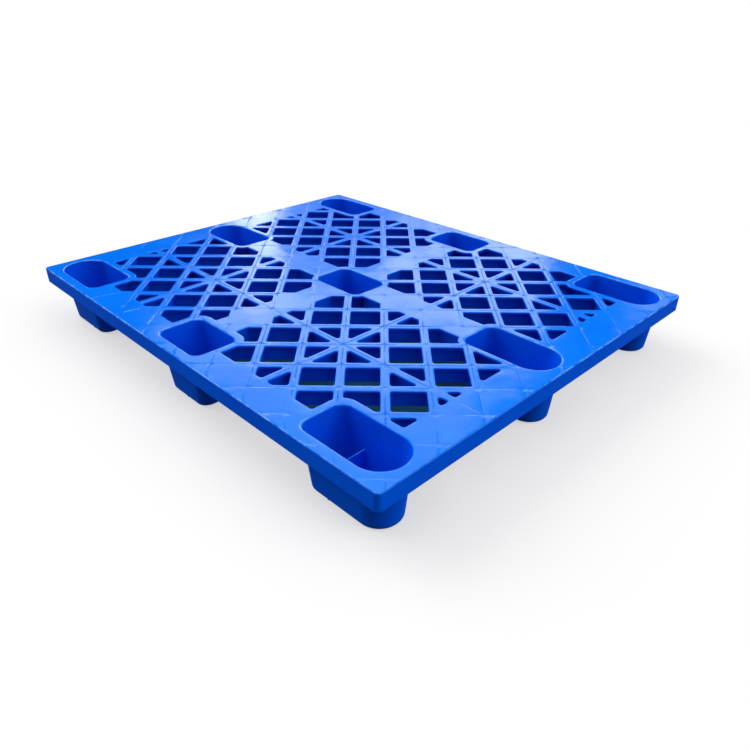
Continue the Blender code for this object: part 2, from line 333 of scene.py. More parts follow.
def grown_and_rounded(outline: Outline, growth: float, radius: float, steps: int) -> Outline:
    """Move an outline's sides outwards and round its corners.

    Args:
        outline: the outline, anticlockwise.
        growth: how far each side moves outwards.
        radius: the corner radius before the move, less where a side is too short for it.
        steps: the number of chords in each corner.

    Returns:
        The rounded outline, with the same number of points for every growth.
    """
    moved = []
    turns = []
    count = len(outline)
    for k in range(count):
        before = (outline[k] - outline[k - 1]).normalized()
        after = (outline[(k + 1) % count] - outline[k]).normalized()
        out_before = Vector((before.y, -before.x))
        out_after = Vector((after.y, -after.x))
        moved.append(outline[k] + (out_before + out_after) * growth / (1 + out_before.dot(out_after)))
        turns.append(1 if before.cross(after) > 0 else -1)
    points = []
    for k, turn in enumerate(turns):
        back = moved[k - 1] - moved[k]
        ahead = moved[(k + 1) % count] - moved[k]
        half_angle = back.angle(ahead) / 2
        wanted = max(radius + turn * growth, radius * LEAST_ROUNDING)
        reach = min(wanted / tan(half_angle), min(back.length, ahead.length) * ROUNDED_SHARE)
        corner_r = reach * tan(half_angle)
        centre = moved[k] + (back.normalized() + ahead.normalized()).normalized() * hypot(reach, corner_r)
        first = moved[k] + back.normalized() * reach - centre
        sweep = turn * (pi - 2 * half_angle)
        for step in range(steps + 1):
            points.append(centre + Matrix.Rotation(sweep * step / steps, 2) @ first)
    return points


def left_outside(outline: Outline, cutter: Outline) -> Outline:
    """Cut an outline back along another one.

    Args:
        outline: the outline that is cut.
        cutter: the outline whose inside is taken away.

    Returns:
        The largest part that is left, anticlockwise, which may be none.
    """
    loops = [list(range(len(outline))), list(range(len(outline), len(outline) + len(cutter)))]
    corners, _, faces, _, _, owners = delaunay_2d_cdt(outline + cutter, [], loops, 1, WELD)
    kept = [face for face, owner in zip(faces, owners) if owner == [0]]
    edges = {pair for face in kept for pair in zip(face, face[1:] + face[:1])}
    after = {a: b for a, b in edges if (b, a) not in edges}
    best: Outline = []
    while after:
        loop = [min(after)]
        while loop[-1] in after:
            loop.append(after.pop(loop[-1]))
        found = [Vector(corners[k]) for k in loop[:-1]]
        if len(found) > 2 and (not best or area(found) > area(best)):
            best = found
    return best


def chord(outline: Outline, origin: Vector, direction: Vector) -> Span | None:
    """Find where a line crosses a convex outline.

    Args:
        outline: the convex outline.
        origin: a point on the line.
        direction: the direction of the line.

    Returns:
        The nearest and the farthest distance along the line, or none where it passes by.
    """
    crossings = []
    for here, there in sides(outline):
        side = there - here
        across = direction.x * side.y - direction.y * side.x
        if abs(across) < WELD:
            continue
        gap = here - origin
        along_side = (gap.x * direction.y - gap.y * direction.x) / across
        if 0 <= along_side < 1:
            crossings.append((gap.x * side.y - gap.y * side.x) / across)
    return (min(crossings), max(crossings)) if len(crossings) > 1 else None


@dataclass(frozen=True)
class LegMouth:
    """The mouth of one leg in the deck, and every outline that follows from it."""

    sizes: PalletSizes
    leg_x: Span
    centre_y: float
    end_steps: int = 28
    corner_steps: int = 6

    @property
    def at_end(self) -> bool:
        """Return whether the leg has a half-round outer end."""
        return self.leg_x == self.sizes.end_leg_x

    @property
    def web_x(self) -> float:
        """Return where the cross web stands."""
        return self.sizes.end_web_x if self.at_end else 0.0

    def outline(self, inset: float) -> Outline:
        """Lay out the leg's plan outline.

        Args:
            inset: how far it is drawn in from the mouth, less than 0 for outside it.

        Returns:
            The outline, anticlockwise, with the same number of points for every inset.
        """
        x0 = self.leg_x[0] + inset
        x1 = self.leg_x[1] - inset
        half = self.sizes.leg_w / 2 - inset
        corner = self.sizes.leg_corner_r - min(inset, 0.0)
        low = self.centre_y - half + corner
        high = self.centre_y + half - corner
        points: Outline = []
        if self.at_end:
            points += arc(Vector((x1 - half, self.centre_y)), half, -90, 90, self.end_steps)
        else:
            points += arc(Vector((x1 - corner, low)), corner, -90, 0, self.corner_steps)
            points += arc(Vector((x1 - corner, high)), corner, 0, 90, self.corner_steps)
        points += arc(Vector((x0 + corner, high)), corner, 90, 180, self.corner_steps)
        points += arc(Vector((x0 + corner, low)), corner, 180, 270, self.corner_steps)
        return points

    def collar(self) -> Outline:
        """Return the edge of the solid deck round the leg, wider in the front and back rows."""
        return self.outline(-(self.sizes.outer_collar_w if self.centre_y else self.sizes.middle_collar_w))

    def flange(self) -> Outline:
        """Return the edge of the flange that carries the leg in the deck."""
        return self.outline(-self.sizes.flange_w)


def leg_mouths(sizes: PalletSizes) -> dict[str, LegMouth]:
    """Lay out the four leg mouths that touch the right back quarter.

    Args:
        sizes: the moulding's sizes.

    Returns:
        The mouths by place.
    """
    return {
        "middle_centre": LegMouth(sizes, sizes.middle_leg_x, 0.0),
        "back_centre": LegMouth(sizes, sizes.middle_leg_x, sizes.leg_row_y),
        "middle_right": LegMouth(sizes, sizes.end_leg_x, 0.0),
        "back_right": LegMouth(sizes, sizes.end_leg_x, sizes.leg_row_y),
    }


@dataclass(frozen=True)
class Lattice:
    """The pattern of ribs under the deck and of openings through it."""

    sizes: PalletSizes
    past: float = 0.004
    shortest_side: float = 0.003

    def cells(self, box: Box, half_bar: float, half_axis_bar: float) -> Iterator[Outline]:
        """Lay out the squares and half squares that the bars leave open.

        Args:
            box: the plan box that they have to fill.
            half_bar: half the width of a diagonal bar.
            half_axis_bar: half the width of the bars through the hubs, along X and Y.

        Yields:
            Each square, or each half of a square that a bar through a hub parts.
        """
        pitch = self.sizes.half_pitch
        x0, x1, y0, y1 = (edge / pitch for edge in box)
        reach = pitch - half_bar * sqrt(2)
        for i in range(floor(x0), ceil(x1) + 1):
            for j in range(floor(y0), ceil(y1) + 1):
                if (i + j) % 2 == 0:
                    continue
                centre = Vector((i, j)) * pitch
                square = [centre + reach * way for way in (X_AXIS, Y_AXIS, -X_AXIS, -Y_AXIS)]
                if self.sizes.hub_step not in (abs(i), abs(j)):
                    yield square
                    continue
                across = X_AXIS if abs(i) == self.sizes.hub_step else Y_AXIS
                for way in (across, -across):
                    yield clip(square, centre + half_axis_bar * way, way)

    def pockets(self, box: Box) -> list[Outline]:
        """Lay out the hollows between the ribs, kept inside the skirt.

        Args:
            box: the plan box that they fill, and a little past it.

        Returns:
            The outlines of the hollows that are large enough to mould.
        """
        sizes = self.sizes
        box = grow_box(box, self.past)
        inner_x = sizes.length / 2 - sizes.skirt_t
        inner_y = sizes.width / 2 - sizes.skirt_t
        corner_line = inner_x + inner_y - sizes.corner_r
        found = []
        for cell in self.cells(box, sizes.rib_t / 2, sizes.rib_t / 2):
            pocket = clip_to_box(clip_to_box(cell, box), (-inner_x, inner_x, -inner_y, inner_y))
            for quarter in Quarter:
                outward = Vector(quarter.value)
                pocket = clip(pocket, outward * corner_line / 2, -outward)
            if covers(pocket, sizes.smallest_pocket):
                found.append(pocket)
        return found

    def openings(self) -> list[Outline]:
        """Lay out one panel's openings, cut back along the solid bands and the leg collars.

        Returns:
            The outlines of the openings that are large enough to mould.
        """
        sizes = self.sizes
        box = sizes.open_x + sizes.open_y
        collars = [mouth.collar() for mouth in leg_mouths(sizes).values()]
        found = []
        for cell in self.cells(box, sizes.bar_w / 2, sizes.axis_bar_w / 2):
            opening = clip_to_box(cell, box)
            for collar in collars:
                if len(opening) > 2:
                    opening = left_outside(opening, collar)
            opening = without_short_sides(opening, self.shortest_side)
            if covers(opening, sizes.smallest_opening):
                found.append(opening)
        return found

    def rib_lines(self) -> list[tuple[Vector, Vector]]:
        """Lay out the diagonal ribs' centre lines.

        Returns:
            A point and a direction for each line.
        """
        pitch = self.sizes.half_pitch
        reach = ceil((self.sizes.length + self.sizes.width) / 2 / (2 * pitch))
        lines = []
        for k in range(-reach, reach + 1):
            start = Vector((2 * k * pitch, 0.0))
            lines.append((start, Vector((1, 1)).normalized()))
            lines.append((start, Vector((1, -1)).normalized()))
        return lines


def of_kind(parts: Sequence[Any], kind: type) -> list[Any]:
    """Return the parts of a mesh that are of one kind: its points, edges or faces."""
    return [part for part in parts if isinstance(part, kind)]


def extrude(bm: BMesh, faces: Sequence[BMFace], way: Vector) -> tuple[list[BMVert], list[BMFace]]:
    """Extrude faces along a vector.

    Args:
        bm: the mesh.
        faces: the flat region that is extruded.
        way: how far it goes, and in which direction.

    Returns:
        The points and the faces of the end that has moved.
    """
    grown = bmesh.ops.extrude_face_region(bm, geom=faces)["geom"]
    moved = of_kind(grown, BMVert)
    bmesh.ops.translate(bm, verts=moved, vec=way)
    return moved, of_kind(grown, BMFace)


def add_ring(bm: BMesh, ring: Ring) -> list[BMEdge]:
    """Add a closed outline at a height.

    Args:
        bm: the mesh.
        ring: the outline and its height.

    Returns:
        The edges of the outline, in order.
    """
    outline, z = ring
    verts = [bm.verts.new((point.x, point.y, z)) for point in outline]
    return [bm.edges.new(pair) for pair in zip(verts, verts[1:] + verts[:1])]


def loft(bm: BMesh, rings: Sequence[Ring]) -> list[list[BMEdge]]:
    """Carry a closed outline through a series of sections by extruding its edges.

    Args:
        bm: the mesh.
        rings: the sections in order, each with the same number of points.

    Returns:
        The edges of every section, in the same order.
    """
    loops = [add_ring(bm, rings[0])]
    for (before, _), (after, z) in zip(rings, rings[1:]):
        grown = bmesh.ops.extrude_edge_only(bm, edges=loops[-1])["geom"]
        fresh = of_kind(grown, BMVert)
        goals = {plan_key(point): (goal.x, goal.y, z) for point, goal in zip(before, after)}
        for vert in fresh:
            vert.co = goals[plan_key(vert.co)]
        edges = of_kind(grown, BMEdge)
        loops.append([edge for edge in edges if all(vert in fresh for vert in edge.verts)])
    return loops


def new_bmesh() -> BMesh:
    """Start a mesh whose points carry the pale mark of their edge, rubbing and painted highlight.

    Returns:
        The mesh, still empty.
    """
    bm = bmesh.new()
    bm.verts.layers.float.new(EDGE_WEAR_AND_HIGHLIGHT)
    return bm


def finished_mesh(bm: BMesh, name: str) -> bpy.types.Mesh:
    """Turn a bmesh, which ends here, into a mesh.

    Args:
        bm: the mesh.
        name: the name that it gets.

    Returns:
        The mesh, for an object to show.
    """
    mesh = bpy.data.meshes.new(name)
    bm.to_mesh(mesh)
    bm.free()
    return mesh


def add_object(name: str, data: bpy.types.ID) -> bpy.types.Object:
    """Add an object to the scene, at the origin.

    Args:
        name: the object's name.
        data: the mesh, light or camera that it shows.

    Returns:
        The object.
    """
    added = bpy.data.objects.new(name, data)
    bpy.context.scene.collection.objects.link(added)
    return added


@dataclass
class MouldedPiece:
    """One region of the moulding, which stands for the solid of the same name.

    Every piece is shaped in the right back quarter and then mirrored to its own one.
    """

    name: str
    sizes: PalletSizes
    quarter: Quarter
    finishes: ClassVar[tuple[Finish, ...]] = ()

    def shape(self) -> BMesh:
        """Return the piece's mesh in the right back quarter."""
        raise NotImplementedError

    def finish_of(self, face: BMFace) -> Finish:
        """Return the finish that a face of the piece has."""
        raise NotImplementedError

    def build(self) -> bpy.types.Object:
        """Make the piece, riding on the pallet in place of its solid.

        Returns:
            The finished object.
        """
        bm = self.shape()
        bmesh.ops.remove_doubles(bm, verts=bm.verts, dist=WELD)
        bmesh.ops.scale(bm, verts=bm.verts, vec=(*self.quarter.value, 1))
        bmesh.ops.recalc_face_normals(bm, faces=bm.faces)
        for face in bm.faces:
            face.material_index = self.finishes.index(self.finish_of(face))
        mesh = finished_mesh(bm, self.name)
        mesh.shade_smooth()
        mesh.set_sharp_from_angle(angle=SHARP_ANGLE)
        piece = add_object(self.name + "_moulded", mesh)
        shading = piece.modifiers.new("flat faces stay flat", "WEIGHTED_NORMAL")
        shading.keep_sharp = True
        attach(piece, BODY)
        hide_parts(self.name)
        return piece

    def dress(self, piece: bpy.types.Object, materials: dict[Finish, bpy.types.Material]) -> None:
        """Give the piece its finishes, in the order that its faces count them."""
        for finish in self.finishes:
            piece.data.materials.append(materials[finish])


@dataclass
class DeckRegion(MouldedPiece):
    """A flat region of the deck: a plate with openings and the ribs under it."""

    corner_steps: int = 4
    edge_steps: int = 3
    outer_wall: float = 0.0003
    finishes: ClassVar[tuple[Finish, ...]] = (Finish.DECK, Finish.SKIRT, Finish.RIB)

    @property
    def lattice(self) -> Lattice:
        """Return the pattern that the region is part of."""
        return Lattice(self.sizes)

    def outline(self) -> Outline:
        """Return the region's plan outline."""
        raise NotImplementedError

    def pockets(self) -> list[Outline]:
        """Return the hollows between the ribs."""
        raise NotImplementedError

    def openings(self) -> list[Outline]:
        """Return the openings through the plate, none by default."""
        return []

    def guides(self) -> list[Outline]:
        """Return further lines that split the top for a rounded edge, none by default."""
        return []

    def edge_inset(self, point: Vector) -> float:
        """Measure how far in from the deck's outer edge a point lies, round its corners too.

        Args:
            point: the place in plan.

        Returns:
            The distance, 0 on the edge and outside it.
        """
        sizes = self.sizes
        past_x = abs(point.x) - (sizes.length / 2 - sizes.corner_r)
        past_y = abs(point.y) - (sizes.width / 2 - sizes.corner_r)
        past = hypot(past_x, past_y) if past_x > 0 and past_y > 0 else max(past_x, past_y)
        return max(sizes.corner_r - past, 0.0)

    def finish_of(self, face: BMFace) -> Finish:
        """Choose the finish of a face.

        Args:
            face: a face of the region.

        Returns:
            The deck's finish on top, the skirt's lighter one on outer walls and plate edges, the ribs'
            darker one below, as painted light and shade.
        """
        middle = face.calc_center_median()
        in_plate = middle.z > self.sizes.plate_underside + WELD
        if in_plate and face.normal.z > DECK_SLOPE:
            return Finish.DECK
        outer = self.edge_inset(middle.xy) < self.outer_wall
        # Painted light and shade: the plate edges take the skirt's lighter blue, the ribs under them the
        # darker rib blue.
        return Finish.SKIRT if in_plate or outer else Finish.RIB

    @staticmethod
    def rounding_drop(inset: float, radius: float) -> float:
        """Work out how deep a rounded edge has dropped.

        Args:
            inset: the distance in from the edge.
            radius: the edge's radius.

        Returns:
            The depth below the flat top.
        """
        if inset >= radius:
            return 0.0
        return radius - sqrt(radius ** 2 - (radius - inset) ** 2)

    def edge_insets(self, radius: float) -> list[float]:
        """Return the distances in from a rounded edge at which its facets meet, the edge itself last."""
        return [radius * (1 - sin(turn)) for turn in quarter_turns(self.edge_steps)]

    def shape(self) -> BMesh:
        """Lay out the plan, extrude the plate and its ribs, then round the upper edges.

        Returns:
            The region's mesh.
        """
        sizes = self.sizes
        zones: list[tuple[Zone, Outline]] = [(Zone.REGION, self.outline())]
        zones += [(Zone.KEEP_OUT, mouth.flange()) for mouth in leg_mouths(sizes).values()]
        zones += [(Zone.POCKET, pocket) for pocket in self.pockets()]
        zones += [(Zone.GUIDE, guide) for guide in self.guides()]
        drops: dict[tuple[int, int], float] = {}
        for opening in self.openings():
            for inset in self.edge_insets(sizes.opening_edge_r):
                ring = grown_and_rounded(opening, inset, sizes.opening_r, self.corner_steps)
                for point in ring:
                    drops[plan_key(point)] = self.rounding_drop(inset, sizes.opening_edge_r)
                zones.append((Zone.HOLE if inset == 0 else Zone.GUIDE, ring))
        bm = self.flat_mesh(zones)
        top = list(bm.verts)
        rib = bm.faces.layers.int["rib"]
        _, underside = extrude(bm, bm.faces[:], Vector((0, 0, -sizes.deck_t)))
        ribs = [face for face in underside if face[rib]]
        extrude(bm, ribs, Vector((0, 0, sizes.deck_t - sizes.rib_depth)))
        bmesh.ops.delete(bm, geom=ribs, context="FACES")
        self.round_top(bm, top, drops)
        return bm

    def flat_mesh(self, zones: list[tuple[Zone, Outline]]) -> BMesh:
        """Fill the region's plan with faces at deck height.

        Args:
            zones: what each outline of the plan marks out.

        Returns:
            The flat mesh, its faces marked where a rib lies under them.
        """
        points = [point for _, outline in zones for point in outline]
        loops = []
        first = 0
        for _, outline in zones:
            loops.append(list(range(first, first + len(outline))))
            first += len(outline)
        corners, _, faces, _, _, owners = delaunay_2d_cdt(points, [], loops, 1, WELD)
        bm = new_bmesh()
        rib = bm.faces.layers.int.new("rib")
        verts = [bm.verts.new((c.x, c.y, self.sizes.height)) for c in corners]
        for face, owner in zip(faces, owners):
            found = {zones[k][0] for k in owner}
            if Zone.REGION in found and not found & {Zone.KEEP_OUT, Zone.HOLE}:
                bm.faces.new([verts[k] for k in face])[rib] = Zone.POCKET not in found
        bmesh.ops.delete(bm, geom=[v for v in bm.verts if not v.link_faces], context="VERTS")
        return bm

    def round_top(self, bm: BMesh, top: list[BMVert], drops: dict[tuple[int, int], float]) -> None:
        """Lower the top's points to the rounded edges and mark them pale, as rubbed edges and painted
        highlight.

        Args:
            bm: the mesh.
            top: the points of the top.
            drops: how deep the points round the openings lie, by place.
        """
        wear_and_highlight = bm.verts.layers.float[EDGE_WEAR_AND_HIGHLIGHT]
        edge_r = self.sizes.edge_r
        for vert in top:
            plan = vert.co.xy
            inset = min(self.edge_inset(plan), edge_r)
            # Painted highlight, with some rubbing: the pale mark peaks in the middle of the rounded edge.
            vert[wear_and_highlight] = sin(pi * inset / edge_r)
            vert.co.z -= max(self.rounding_drop(inset, edge_r), drops.get(plan_key(plan), 0.0))


@dataclass
class LatticePanel(DeckRegion):
    """One lattice panel: T-section bars, a solid frame and the wall under the frame."""

    def outline(self) -> Outline:
        """Return the panel's box."""
        return box_outline(self.sizes.panel_box)

    def pockets(self) -> list[Outline]:
        """Return the hollows between the ribs, inside the frame's wall.

        Returns:
            The outlines of the hollows that are large enough to mould.
        """
        inside = grow_box(self.sizes.panel_box, -self.sizes.rib_t)
        half_rib = self.sizes.rib_t / 2
        cells = (clip_to_box(cell, inside) for cell in self.lattice.cells(inside, half_rib, half_rib))
        return [cell for cell in cells if covers(cell, self.sizes.smallest_pocket)]

    def openings(self) -> list[Outline]:
        """Return the panel's openings."""
        return self.lattice.openings()


@dataclass
class CrossBeam(DeckRegion):
    """One arm of the solid centre cross, ribbed below."""

    along_x: bool = True

    def box(self) -> Box:
        """Work out where the arm lies, from the middle leg's flange to the outer one's.

        Returns:
            The plan box of the arm in the right back quarter.
        """
        sizes = self.sizes
        flange_x = sizes.middle_leg_x[1] + sizes.flange_w
        flange_y = sizes.leg_w / 2 + sizes.flange_w
        half_x = sizes.panel_x[0]
        half_y = sizes.panel_y[0]
        if self.along_x:
            return (flange_x, sizes.end_leg_x[0] - sizes.flange_w, -half_y, half_y)
        return (-half_x, half_x, flange_y, sizes.leg_row_y - flange_y)

    def outline(self) -> Outline:
        """Return the arm's box."""
        return box_outline(self.box())

    def pockets(self) -> list[Outline]:
        """Return the hollows between the ribs, open at the arm's edges."""
        return self.lattice.pockets(self.box())


@dataclass
class EdgeRail(DeckRegion):
    """One length of the border with the skirt and the ribs below, mitred at the corner."""

    along_x: bool = True

    def rim(self, inset: float) -> Outline:
        """Lay out the whole deck's outline, its corners round.

        Args:
            inset: how far it is drawn in.

        Returns:
            The outline, anticlockwise.
        """
        sizes = self.sizes
        box = grow_box((-sizes.length / 2, sizes.length / 2, -sizes.width / 2, sizes.width / 2), -inset)
        return grown_and_rounded(box_outline(box), 0.0, sizes.corner_r - inset, 2 * self.corner_steps)

    def outline(self) -> Outline:
        """Lay out the rail's plan, from the middle of its side to the corner mitre.

        Returns:
            The outline, anticlockwise.
        """
        sizes = self.sizes
        corner = Vector((sizes.length / 2 - sizes.corner_r, sizes.width / 2 - sizes.corner_r))
        lead = sizes.length / 2 - sizes.width / 2
        _, inner_x, _, inner_y = sizes.panel_box
        if self.along_x:
            inner = [Vector((0, inner_y)), Vector((inner_y + lead, inner_y))]
            bend = arc(corner, sizes.corner_r, 45, 90, self.corner_steps)
            return inner + bend + [Vector((0, sizes.width / 2))]
        middle = [Vector((inner_x, 0)), Vector((sizes.length / 2, 0))]
        bend = arc(corner, sizes.corner_r, 0, 45, self.corner_steps)
        return middle + bend + [Vector((inner_x, inner_x - lead))]

    def pockets(self) -> list[Outline]:
        """Return the hollows between the ribs, inside the skirt.

        Returns:
            The outlines of the hollows.
        """
        sizes = self.sizes
        _, inner_x, _, inner_y = sizes.panel_box
        if self.along_x:
            return self.lattice.pockets((0, sizes.length / 2, inner_y, sizes.width / 2))
        return self.lattice.pockets((inner_x, sizes.length / 2, 0, sizes.width / 2))

    def guides(self) -> list[Outline]:
        """Return the lines where the facets of the rounded deck edge meet."""
        return [self.rim(inset) for inset in self.edge_insets(self.sizes.edge_r)[:-1]]


@dataclass
class Leg(MouldedPiece):
    """One hollow tapered leg: flange, rolled rim, cup, cross web, drained foot and the rib stubs."""

    mouth: LegMouth
    rounding_steps: int = 6
    drain_sides: int = 24
    # Painted highlight: pale marks on the rim's upper rings and along the web's top, standing for glints.
    rim_highlight: tuple[float, ...] = (0.7, 0.5)
    web_highlight: float = 1.0
    web_edge_steps: int = 3
    web_highlight_share: float = 0.7
    stub_bite_share: float = 0.75
    stub_lap_share: float = 0.25
    finishes: ClassVar[tuple[Finish, ...]] = (Finish.DECK, Finish.SKIRT, Finish.RIB, Finish.LEG)

    def finish_of(self, face: BMFace) -> Finish:
        """Choose the finish of a face by its height and slope.

        Args:
            face: a face of the leg.

        Returns:
            The deck's lighter finish on rim and web top, the ribs' or skirt's outside, the leg's own
            darker inside as painted shade in the cup.
        """
        z = face.calc_center_median().z
        if face.normal.z > RIM_SLOPE and z > self.web_top - self.sizes.web_edge_r:
            return Finish.DECK
        if face.normal.z < WELD and z > self.sizes.rib_foot:
            return Finish.RIB
        return Finish.SKIRT if face.normal.z < -WELD else Finish.LEG

    @property
    def web_top(self) -> float:
        """Return the height of the web's upper edge."""
        return self.sizes.height - self.sizes.web_top_depth

    def wall_inset(self, depth: float) -> float:
        """Return how far the inner wall has drawn in from the mouth at a depth below the deck."""
        return self.sizes.rim_w + self.sizes.leg_draft * (depth - self.sizes.rim_r)

    def outer_inset(self, depth: float) -> float:
        """Return how far the outer wall has drawn in from the mouth at a depth below the deck."""
        return self.wall_inset(depth) - self.sizes.leg_wall

    def inside(self) -> list[Ring]:
        """Lay out the sections of the inside: flange, rolled rim, wall and the floor's rounding.

        Returns:
            The outlines and their heights, from the flange's edge down to the floor.
        """
        sizes = self.sizes
        rings = [(self.mouth.flange(), sizes.height)]
        wall = self.wall_inset(sizes.rim_r)
        for turn in quarter_turns(self.rounding_steps):
            z = sizes.height - sizes.rim_r * (1 - cos(turn))
            rings.append((self.mouth.outline(wall - sizes.rim_r * (1 - sin(turn))), z))
        floor_r = sizes.foot_r - sizes.leg_wall
        start = self.wall_inset(sizes.height - sizes.floor_t - floor_r)
        for turn in quarter_turns(self.rounding_steps):
            z = sizes.floor_t + floor_r * (1 - sin(turn))
            rings.append((self.mouth.outline(start + floor_r * (1 - cos(turn))), z))
        return rings

    def outside(self) -> list[Ring]:
        """Lay out the sections of the outside: the foot's rounding, wall, shoulder and flange.

        Returns:
            The outlines and their heights, from the foot up to the flange's underside.
        """
        sizes = self.sizes
        start = self.outer_inset(sizes.height - sizes.foot_r)
        rings = []
        for turn in reversed(quarter_turns(self.rounding_steps)):
            z = sizes.foot_r * (1 - sin(turn))
            rings.append((self.mouth.outline(start + sizes.foot_r * (1 - cos(turn))), z))
        rings.append((self.mouth.outline(self.outer_inset(sizes.rib_depth)), sizes.rib_foot))
        shoulder_z = sizes.plate_underside - sizes.shoulder_r
        shoulder = self.outer_inset(sizes.height - shoulder_z)
        for turn in quarter_turns(self.rounding_steps):
            inset = shoulder - sizes.shoulder_r * (1 - cos(turn))
            rings.append((self.mouth.outline(inset), shoulder_z + sizes.shoulder_r * sin(turn)))
        rings.append((self.mouth.flange(), sizes.plate_underside))
        return rings

    def shape(self) -> BMesh:
        """Loft the sections, close the drained floor, and add the web and the rib stubs.

        Returns:
            The leg's mesh.
        """
        bm = new_bmesh()
        inside = self.inside()
        outside = self.outside()
        upper_loops = loft(bm, inside)
        lower_loops = loft(bm, outside)
        bmesh.ops.bridge_loops(bm, edges=lower_loops[-1] + upper_loops[0])
        wear_and_highlight = bm.verts.layers.float[EDGE_WEAR_AND_HIGHLIGHT]
        # Painted highlight: the rim's upper rings are marked pale, a glint along the mouth.
        for loop, share in zip(upper_loops[2:], self.rim_highlight):
            for vert in {vert for edge in loop for vert in edge.verts}:
                vert[wear_and_highlight] = share
        upper_drains = self.drains(bm, self.sizes.floor_t)
        lower_drains = self.drains(bm, 0.0)
        for upper, lower in zip(upper_drains, lower_drains):
            bmesh.ops.bridge_loops(bm, edges=upper + lower)
        for loop, drains in ((upper_loops[-1], upper_drains), (lower_loops[0], lower_drains)):
            bmesh.ops.triangle_fill(bm, use_beauty=True, edges=loop + sum(drains, []))
        self.add_web(bm)
        self.add_rib_stubs(bm)
        return bm

    def drains(self, bm: BMesh, z: float) -> list[list[BMEdge]]:
        """Add the outlines of the two drain holes.

        Args:
            bm: the mesh.
            z: the height at which they lie.

        Returns:
            The edges of each hole.
        """
        found = []
        for side in (-1, 1):
            centre = Vector((self.mouth.web_x + side * self.sizes.drain_offset, self.mouth.centre_y))
            circle = arc(centre, self.sizes.drain_r, 0, 360, self.drain_sides)[:-1]
            found.append(add_ring(bm, (circle, z)))
        return found

    def add_plate(self, bm: BMesh, corners: Sequence[Vector], thickness: float) -> list[BMVert]:
        """Add a plate about a flat outline.

        Args:
            bm: the mesh.
            corners: the outline, in the middle of the plate.
            thickness: how thick the plate is.

        Returns:
            The plate's points.
        """
        verts = [bm.verts.new(corner) for corner in corners]
        face = bm.faces.new(verts)
        face.normal_update()
        across = face.normal * thickness
        bmesh.ops.translate(bm, verts=verts, vec=-across / 2)
        moved, _ = extrude(bm, [face], across)
        return verts + moved

    def add_web(self, bm: BMesh) -> None:
        """Add the cross web, its ends inside the walls and its upper edges rounded and marked pale as a
        painted highlight.

        Args:
            bm: the mesh.
        """
        sizes = self.sizes
        bite = sizes.leg_wall / 2
        top = self.web_top
        bottom = sizes.floor_t / 2
        half_top = sizes.leg_w / 2 - self.wall_inset(sizes.web_top_depth) + bite
        half_bottom = sizes.leg_w / 2 - self.wall_inset(sizes.height - bottom) + bite
        spots = ((-half_bottom, bottom), (half_bottom, bottom), (half_top, top), (-half_top, top))
        corners = [Vector((self.mouth.web_x, self.mouth.centre_y + along, z)) for along, z in spots]
        verts = self.add_plate(bm, corners, sizes.web_t)
        upper = [v for v in verts if v.co.z > top - WELD]
        rims = {e for v in upper for e in v.link_edges if abs(e.verts[0].co.x - e.verts[1].co.x) < WELD}
        edges = [e for e in rims if all(v in upper for v in e.verts)]
        rounded = bmesh.ops.bevel(bm, geom=edges, offset=sizes.web_edge_r, affect="EDGES",
                                  segments=self.web_edge_steps, profile=0.5, material=-1)
        # Painted highlight: a pale line along the web's rounded top.
        wear_and_highlight = bm.verts.layers.float[EDGE_WEAR_AND_HIGHLIGHT]
        for vert in rounded["verts"]:
            if vert.co.z > top - sizes.web_edge_r * self.web_highlight_share:
                vert[wear_and_highlight] = self.web_highlight

    def add_rib_stubs(self, bm: BMesh) -> None:
        """Add the ends of the deck ribs that run under the flange into the leg's wall.

        Args:
            bm: the mesh.
        """
        sizes = self.sizes
        flange = self.mouth.flange()
        bite = sizes.leg_wall * self.stub_bite_share
        wall_top = self.mouth.outline(self.wall_inset(sizes.deck_t) - bite)
        wall_foot = self.mouth.outline(self.wall_inset(sizes.rib_depth) - bite)
        top = sizes.plate_underside + sizes.deck_t * self.stub_lap_share
        for origin, way in Lattice(sizes).rib_lines():
            outer = chord(flange, origin, way)
            upper = chord(wall_top, origin, way)
            lower = chord(wall_foot, origin, way)
            if not (outer and upper and lower):
                continue
            for out, high, low in zip(outer, upper, lower):
                spots = ((out, top), (high, top), (low, sizes.rib_foot), (out, sizes.rib_foot))
                corners = [(origin + way * along).to_3d() + Vector((0, 0, z)) for along, z in spots]
                self.add_plate(bm, corners, sizes.rib_t)


